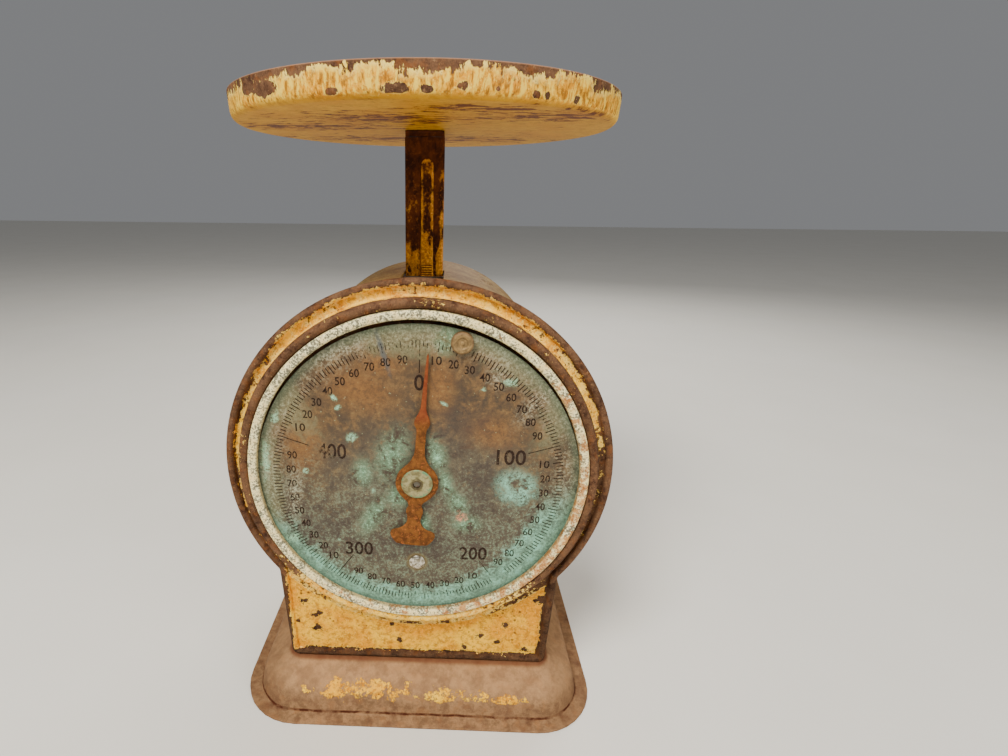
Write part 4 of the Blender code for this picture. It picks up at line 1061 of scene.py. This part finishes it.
ease(shape, lip, 0.18, 2, "EDGES")
face_front(shape, axis)
bmesh.ops.rotate(shape, verts=shape.verts, cent=axis, matrix=Matrix.Rotation(pointer_lean, 3, "Y"))
piece_from(shape, "needle", "pointer", ("pointer",), sharp=35)

# %% Pointer finish: orange rust
recipe = Recipe("pointer_orange_rust")
cloud = recipe.mottle(3.0, 5, (5, 0, 5), 0.6)
grain = recipe.mottle(0.7, 4, (5, 0, 5), 0.7)
colour = recipe.blend(cloud.step(0.36, 0.64), (88, 64, 42), (124, 92, 56))
colour.lay(recipe.grit(1.6, 0.52, 0.64, (2, 0, 6)) * 0.6, (186, 130, 84))
colour.lay(grain.step(0.42, 0.30) * 0.7, (84, 54, 38))
colour.lay((recipe.z - axis_up).step(28, 36) * 0.5, (134, 78, 60))
dress(recipe.finish(colour, 0.80, grain * 0.6 + cloud * 0.4, depth=0.16), "needle")

# %% [markdown]
# ## The pan and its stem
#
# The pan is a shallow turned dish. Its stem is a channel that opens to the rear, with
# a rounded rib pressed down its front and a few short ridges rolled into the rib. Both
# move down together when something is weighed.

# %% Pan
shape = spun([(0, 295.9, 0), (88.6, 295.9, 2.4), (89.4, 306.1, 0.3), (90.0, 306.39, 0.3),
              (90.58, 306.1, 0.3), (89.8, 294.72, 3.4), (0, 294.72, 0)], steps=200)
piece_from(shape, "weighing_pan", "platform", ("pan",), sharp=50)

# %% [markdown]
# The pan's wall has chipped from its rim down, in ragged vertical runs, and has round
# rust spots where it was knocked. The underside gets a darker, duller tone, which is
# painted shade, and long brown streaks. The wall's edge follows the height below the rim,
# and noise that is stretched upwards makes the runs; the streaks use noise that is
# stretched sideways.

# %% Pan finish
pan_top = 306.4
recipe = Recipe("pan_enamel")
broad = recipe.mottle(17, 3, (5, 1, 3))
runs = recipe.mottle(1.5, 5, (3, 2, 1), 0.6, stretch=(1, 1, 3.0))
cloud = recipe.mottle(4.0, 5, (2, 9, 4), 0.6)
from_axis = recipe.oval((0, 0, 0), (1, 1, None))
drop = pan_top - recipe.z
left = recipe.x.step(-20, -70)
chipped = 0.5 + 3.8 * broad.step(0.36, 0.70) + 1.5 * left
flake = recipe.mottle(2.4, 7, (2, 1, 7), 0.74, stretch=(1, 1, 1.5))
eaten = (runs - 0.5) * 1.6 + (flake - 0.5) * 2.0 + (cloud - 0.5) * 1.0
wall = recipe.z.step(295.4, 296.8)
hold_wall = 0.5 + (drop - chipped) * 0.17 + eaten * 0.8
spots = recipe.patches([((-6.4, -87, 297.0), (4.6, 9, 2.0)), ((4.4, -87, 297.0), (2.4, 9, 1.5)),
                        ((-28, -83, 297.0), (3.4, 9, 1.5)), ((16.7, -85, 298.4), (2.4, 9, 1.6)),
                        ((42.5, -77, 297.4), (1.6, 9, 1.4)), ((46.6, -75, 297.4), (1.2, 9, 1.4)),
                        ((58.7, -66, 297.6), (1.4, 9, 2.0), 20), ((-55, -69, 300.0), (6.5, 9, 2.6)),
                        ((-64, -60, 302.5), (4, 9, 3.0)), ((28.5, -83, 298.0), (0.9, 9, 0.8)),
                        ((30, 82, 299), (3, 9, 2)), ((-48, 72, 298), (4, 9, 2))], eaten * 0.4,
                       soft=0.3)
hold_wall = hold_wall - spots * 1.6
under = recipe.z.step(296.6, 295.0)
streak = recipe.mottle(4.2, 8, (1, 1, 1), 0.72, stretch=(2.6, 1, 1), warp=0.4)
streaked = recipe.patches([((-16, -40, 294), (36, 16, 9)), ((22, -66, 294), (22, 9, 9)),
                           ((56, -50, 294), (34, 14, 9)), ((-50, -12, 294), (34, 12, 9)),
                           ((-5, 40, 294), (60, 16, 9))], (cloud - 0.5) * 3.0, soft=0.9)
inner_floor = recipe.z.step(295.6, 295.85) * from_axis.step(88.9, 88.3)
hold_floor = 0.78 + (broad - 0.5) * 2.0 + (flake - 0.5) * 1.6 - 0.25 * from_axis.step(60, 84)
hold = hold_wall * wall + (1 - wall)
hold = hold * (1 - inner_floor) + hold_floor * inner_floor
skin, rust_height = rust(recipe, shift=(0, 1, 0), dusty=0.2)
coat, _ = enamel(recipe, shift=(6, 0, 2), pale=(248, 210, 88), deep=(226, 172, 46))
coat.lay(runs.step(0.50, 0.60) * wall * 0.7, (255, 234, 130))
coat.lay(runs.step(0.48, 0.38) * wall * 0.8, (138, 102, 50))
# Painted shade: the whole underside gets a darker, duller tone; the streaks laid next are real stains.
coat.lay(under * 0.75, (180, 146, 54))
coat.lay(under * streaked * cloud.step(0.40, 0.60) * 0.55, (140, 92, 36))
coat.lay(under * streak.step(0.44, 0.64) * (0.25 + 0.6 * streaked), (128, 98, 42))
coat.lay(under * (streak + streaked * 0.17).step(0.61, 0.67) * 0.95, (88, 52, 28))
paint = hold.step(0.47, 0.54)
lifted = hold.step(0.95, 0.60) * flake.step(0.40, 0.54)
coat.lay(lifted * wall * 0.8, (255, 236, 160))
coat.lay(hold.step(0.58, 0.50) * 0.6, (150, 108, 56))
colour = recipe.blend(paint, skin, coat)
colour.lay(recipe.z.step(305.7, 306.2) * 0.6, (176, 146, 124))
pan_height = paint * 0.7 + 0.2 * runs + (1 - paint) * rust_height * 0.5
dress(recipe.finish(colour, 0.84 - 0.28 * paint, pan_height, depth=0.22), "weighing_pan")

# %% Stem
stem_low, stem_high = 87.3, 291.5
shape = bmesh.new()
section = [(-9.85, 8.1), (-9.85, -1.9), (9.85, -1.9), (9.85, 8.1), (8.65, 8.1), (8.65, -0.7),
           (-8.65, -0.7), (-8.65, 8.1)]
verts = [shape.verts.new((x * mm, y * mm, stem_low * mm)) for x, y in section]
shape.faces.new(verts)
ease(shape, verts[1:3], 1.3, 5)
pull(shape, shape.faces[:], (0, 0, stem_high - stem_low))

rib = bmesh.new()
rib_low, rib_high, rib_half, rib_middle = 92.0, 278.7, 3.3, 1.4
ridge_low, ridge_pitch = 224.2, 1.25
circle = bmesh.ops.create_circle(rib, cap_ends=True, segments=32, radius=rib_half * mm)["verts"]
upper = [vert for vert in circle if vert.co.y > -0.01 * mm]
move(rib, upper, 0, rib_high - rib_low, 0)
face_front(rib, Vector((rib_middle, 0, rib_low)) * mm)
move(rib, rib.verts, 0, -1.5, 0)
pull(rib, rib.faces[:], (0, -1.2, 0))
bmesh.ops.recalc_face_normals(rib, faces=rib.faces)
ease(rib, edges_where(rib, lambda place: place.y < -2.6), 0.75, 4, "EDGES")
for number in range(6):
    ridge = bmesh.ops.create_cube(rib, size=1)["verts"]
    bmesh.ops.scale(rib, vec=(5.2 * mm, 0.5 * mm, 0.62 * mm), verts=ridge)
    bmesh.ops.translate(rib, vec=Vector((1.3, -2.65, ridge_low + ridge_pitch * number)) * mm, verts=ridge)
    long_edges = {edge for vert in ridge for edge in vert.link_edges
                  if all(end.co.y < -2.8 * mm for end in edge.verts)}
    ease(rib, list(long_edges), 0.18, 2, "EDGES")
add_shape(shape, rib)
piece_from(shape, "stem_channel", "platform", ("stem",), sharp=40)

# %% Stem finish: dark at the top, which is rust with painted shade under the pan, yellow lower down
recipe = Recipe("stem_enamel_and_rust")
cloud = recipe.mottle(5.0, 6, (2, 4, 4), 0.64, stretch=(1, 1, 1.8))
fine = recipe.mottle(1.5, 7, (4, 4, 2), 0.72)
front = recipe.y.step(-1.2, -1.8)
over_top = recipe.larger(recipe.z - rib_high, 0)
beside = recipe.x - rib_middle
from_rib = recipe.math("SQRT", beside * beside + over_top * over_top)
on_rib = from_rib.step(3.5, 2.9) * front
rib_edge = from_rib.step(1.4, 2.4) * on_rib
# Less paint along the rib's foot leaves a dark line of rust there, darkened as painted shade in the crease
# beside the rib.
rib_foot_rust_and_shade = from_rib.step(3.0, 3.6) * from_rib.step(5.8, 4.2) * front
# Painted highlight: more paint along the stem's right edge makes that side lighter, where light catches it.
corner = recipe.x.step(7.0, 8.6)
lower = recipe.z.step(246, 234)
middle = recipe.z.step(286, 262)
hold = 0.06 + 0.16 * middle + 0.46 * lower + 0.20 * on_rib + rib_edge * 0.18
hold = hold - 0.24 * rib_foot_rust_and_shade + 0.36 * corner * middle + (cloud - 0.5) * 1.9 + (fine - 0.5) * 1.2
# The rust is very dark, partly as painted shade from the pan above the stem's top.
skin = recipe.blend(cloud.step(0.36, 0.64), (46, 28, 18), (90, 58, 34))
skin.lay(fine.step(0.52, 0.66) * (0.4 + 0.5 * middle), (128, 88, 48))
coat = recipe.blend(fine.step(0.38, 0.60), (232, 184, 92), (164, 120, 56))
paint = hold.step(0.40, 0.66)
colour = recipe.blend(paint, skin, coat)
# Painted shade: dark stripes between the rolled ridges.
shade_between_ridges = recipe.math("SINE", (recipe.z - ridge_low) * (2 * math.pi / ridge_pitch)).step(0.2, -0.5)
ridged = recipe.z.step(223.0, 223.6) * recipe.z.step(231.4, 230.8) * from_rib.step(3.0, 2.4) * front
colour.lay(shade_between_ridges * ridged * 0.85, (58, 32, 20))
dress(recipe.finish(colour, 0.80 - 0.2 * paint, paint * 0.5 + fine * 0.4, depth=0.2), "stem_channel",
      "pan_bracket")

# %% Rivets in the pan
for number, y in enumerate((3.1, 17.1), 1):
    shape = spun([(0, 297.4, 0), (2.2, 297.3, 0.6), (3.6, 296.5, 0.2), (3.6, 296.2, 0), (2.0, 296.2, 0),
                  (2.0, 291.5, 0), (3.6, 291.5, 0), (3.6, 290.9, 0), (0, 290.9, 0)], steps=40)
    move(shape, shape.verts, 0, y, 0)
    piece_from(shape, f"pan_rivet_head_{number}", "platform", (f"pan_rivet_{number}",), sharp=40)

# %% Finishes of fasteners and of what lies inside the case
screws = [f"base_screw_{number}" for number in (1, 2, 3, 4)]
screws += [f"rear_cover_screw_{number}" for number in (1, 2, 3, 4)] + ["frame_screw_1", "frame_screw_2"]
plain_metal("fastener_steel", (1.8, 5, (1, 2, 3)), (0.40, 0.60), ((132, 124, 112), (104, 66, 42)),
            (0.45, 0.4), 0.12, 0.55, "pan_rivet_head_1", "pan_rivet_head_2", *screws)
plain_metal("inner_steel", (4, 5, (8, 2, 3)), (0.48, 0.66), ((122, 118, 110), (112, 72, 46)), (0.40, 0.4),
            0.10, 0.7, "movement_frame", "guide_rod", "stem_guide", "spring_hanger", "yoke", "rack_arm",
            "dial_carrier", "dial_retainer", "pointer_shaft")
plain_metal("inner_brass", (3, 5, (8, 7, 3)), (0.42, 0.66), ((176, 142, 78), (112, 88, 52)), (0.35, 0.4),
            0.08, 0.9, "pinion", "rack", "dial_collar", "rear_bearing")
plain_metal("spring_wire", (2, 4, (3, 7, 3)), (0.48, 0.66), ((98, 96, 94), (96, 62, 44)), (0.35, 0.4),
            0.06, 0.85, "spring_left", "spring_right")

# %% Floor
made = bpy.data.meshes.new("floor")
shape = bmesh.new()
bmesh.ops.create_grid(shape, x_segments=1, y_segments=1, size=6)
shape.to_mesh(made)
shape.free()
floor = add_to_scene("floor", made)
recipe = Recipe("pale_floor")
cloud = recipe.mottle(120, 3)
colour = recipe.blend(cloud, (222, 220, 214), (230, 228, 223))
made.materials.append(recipe.finish(colour, 0.8))
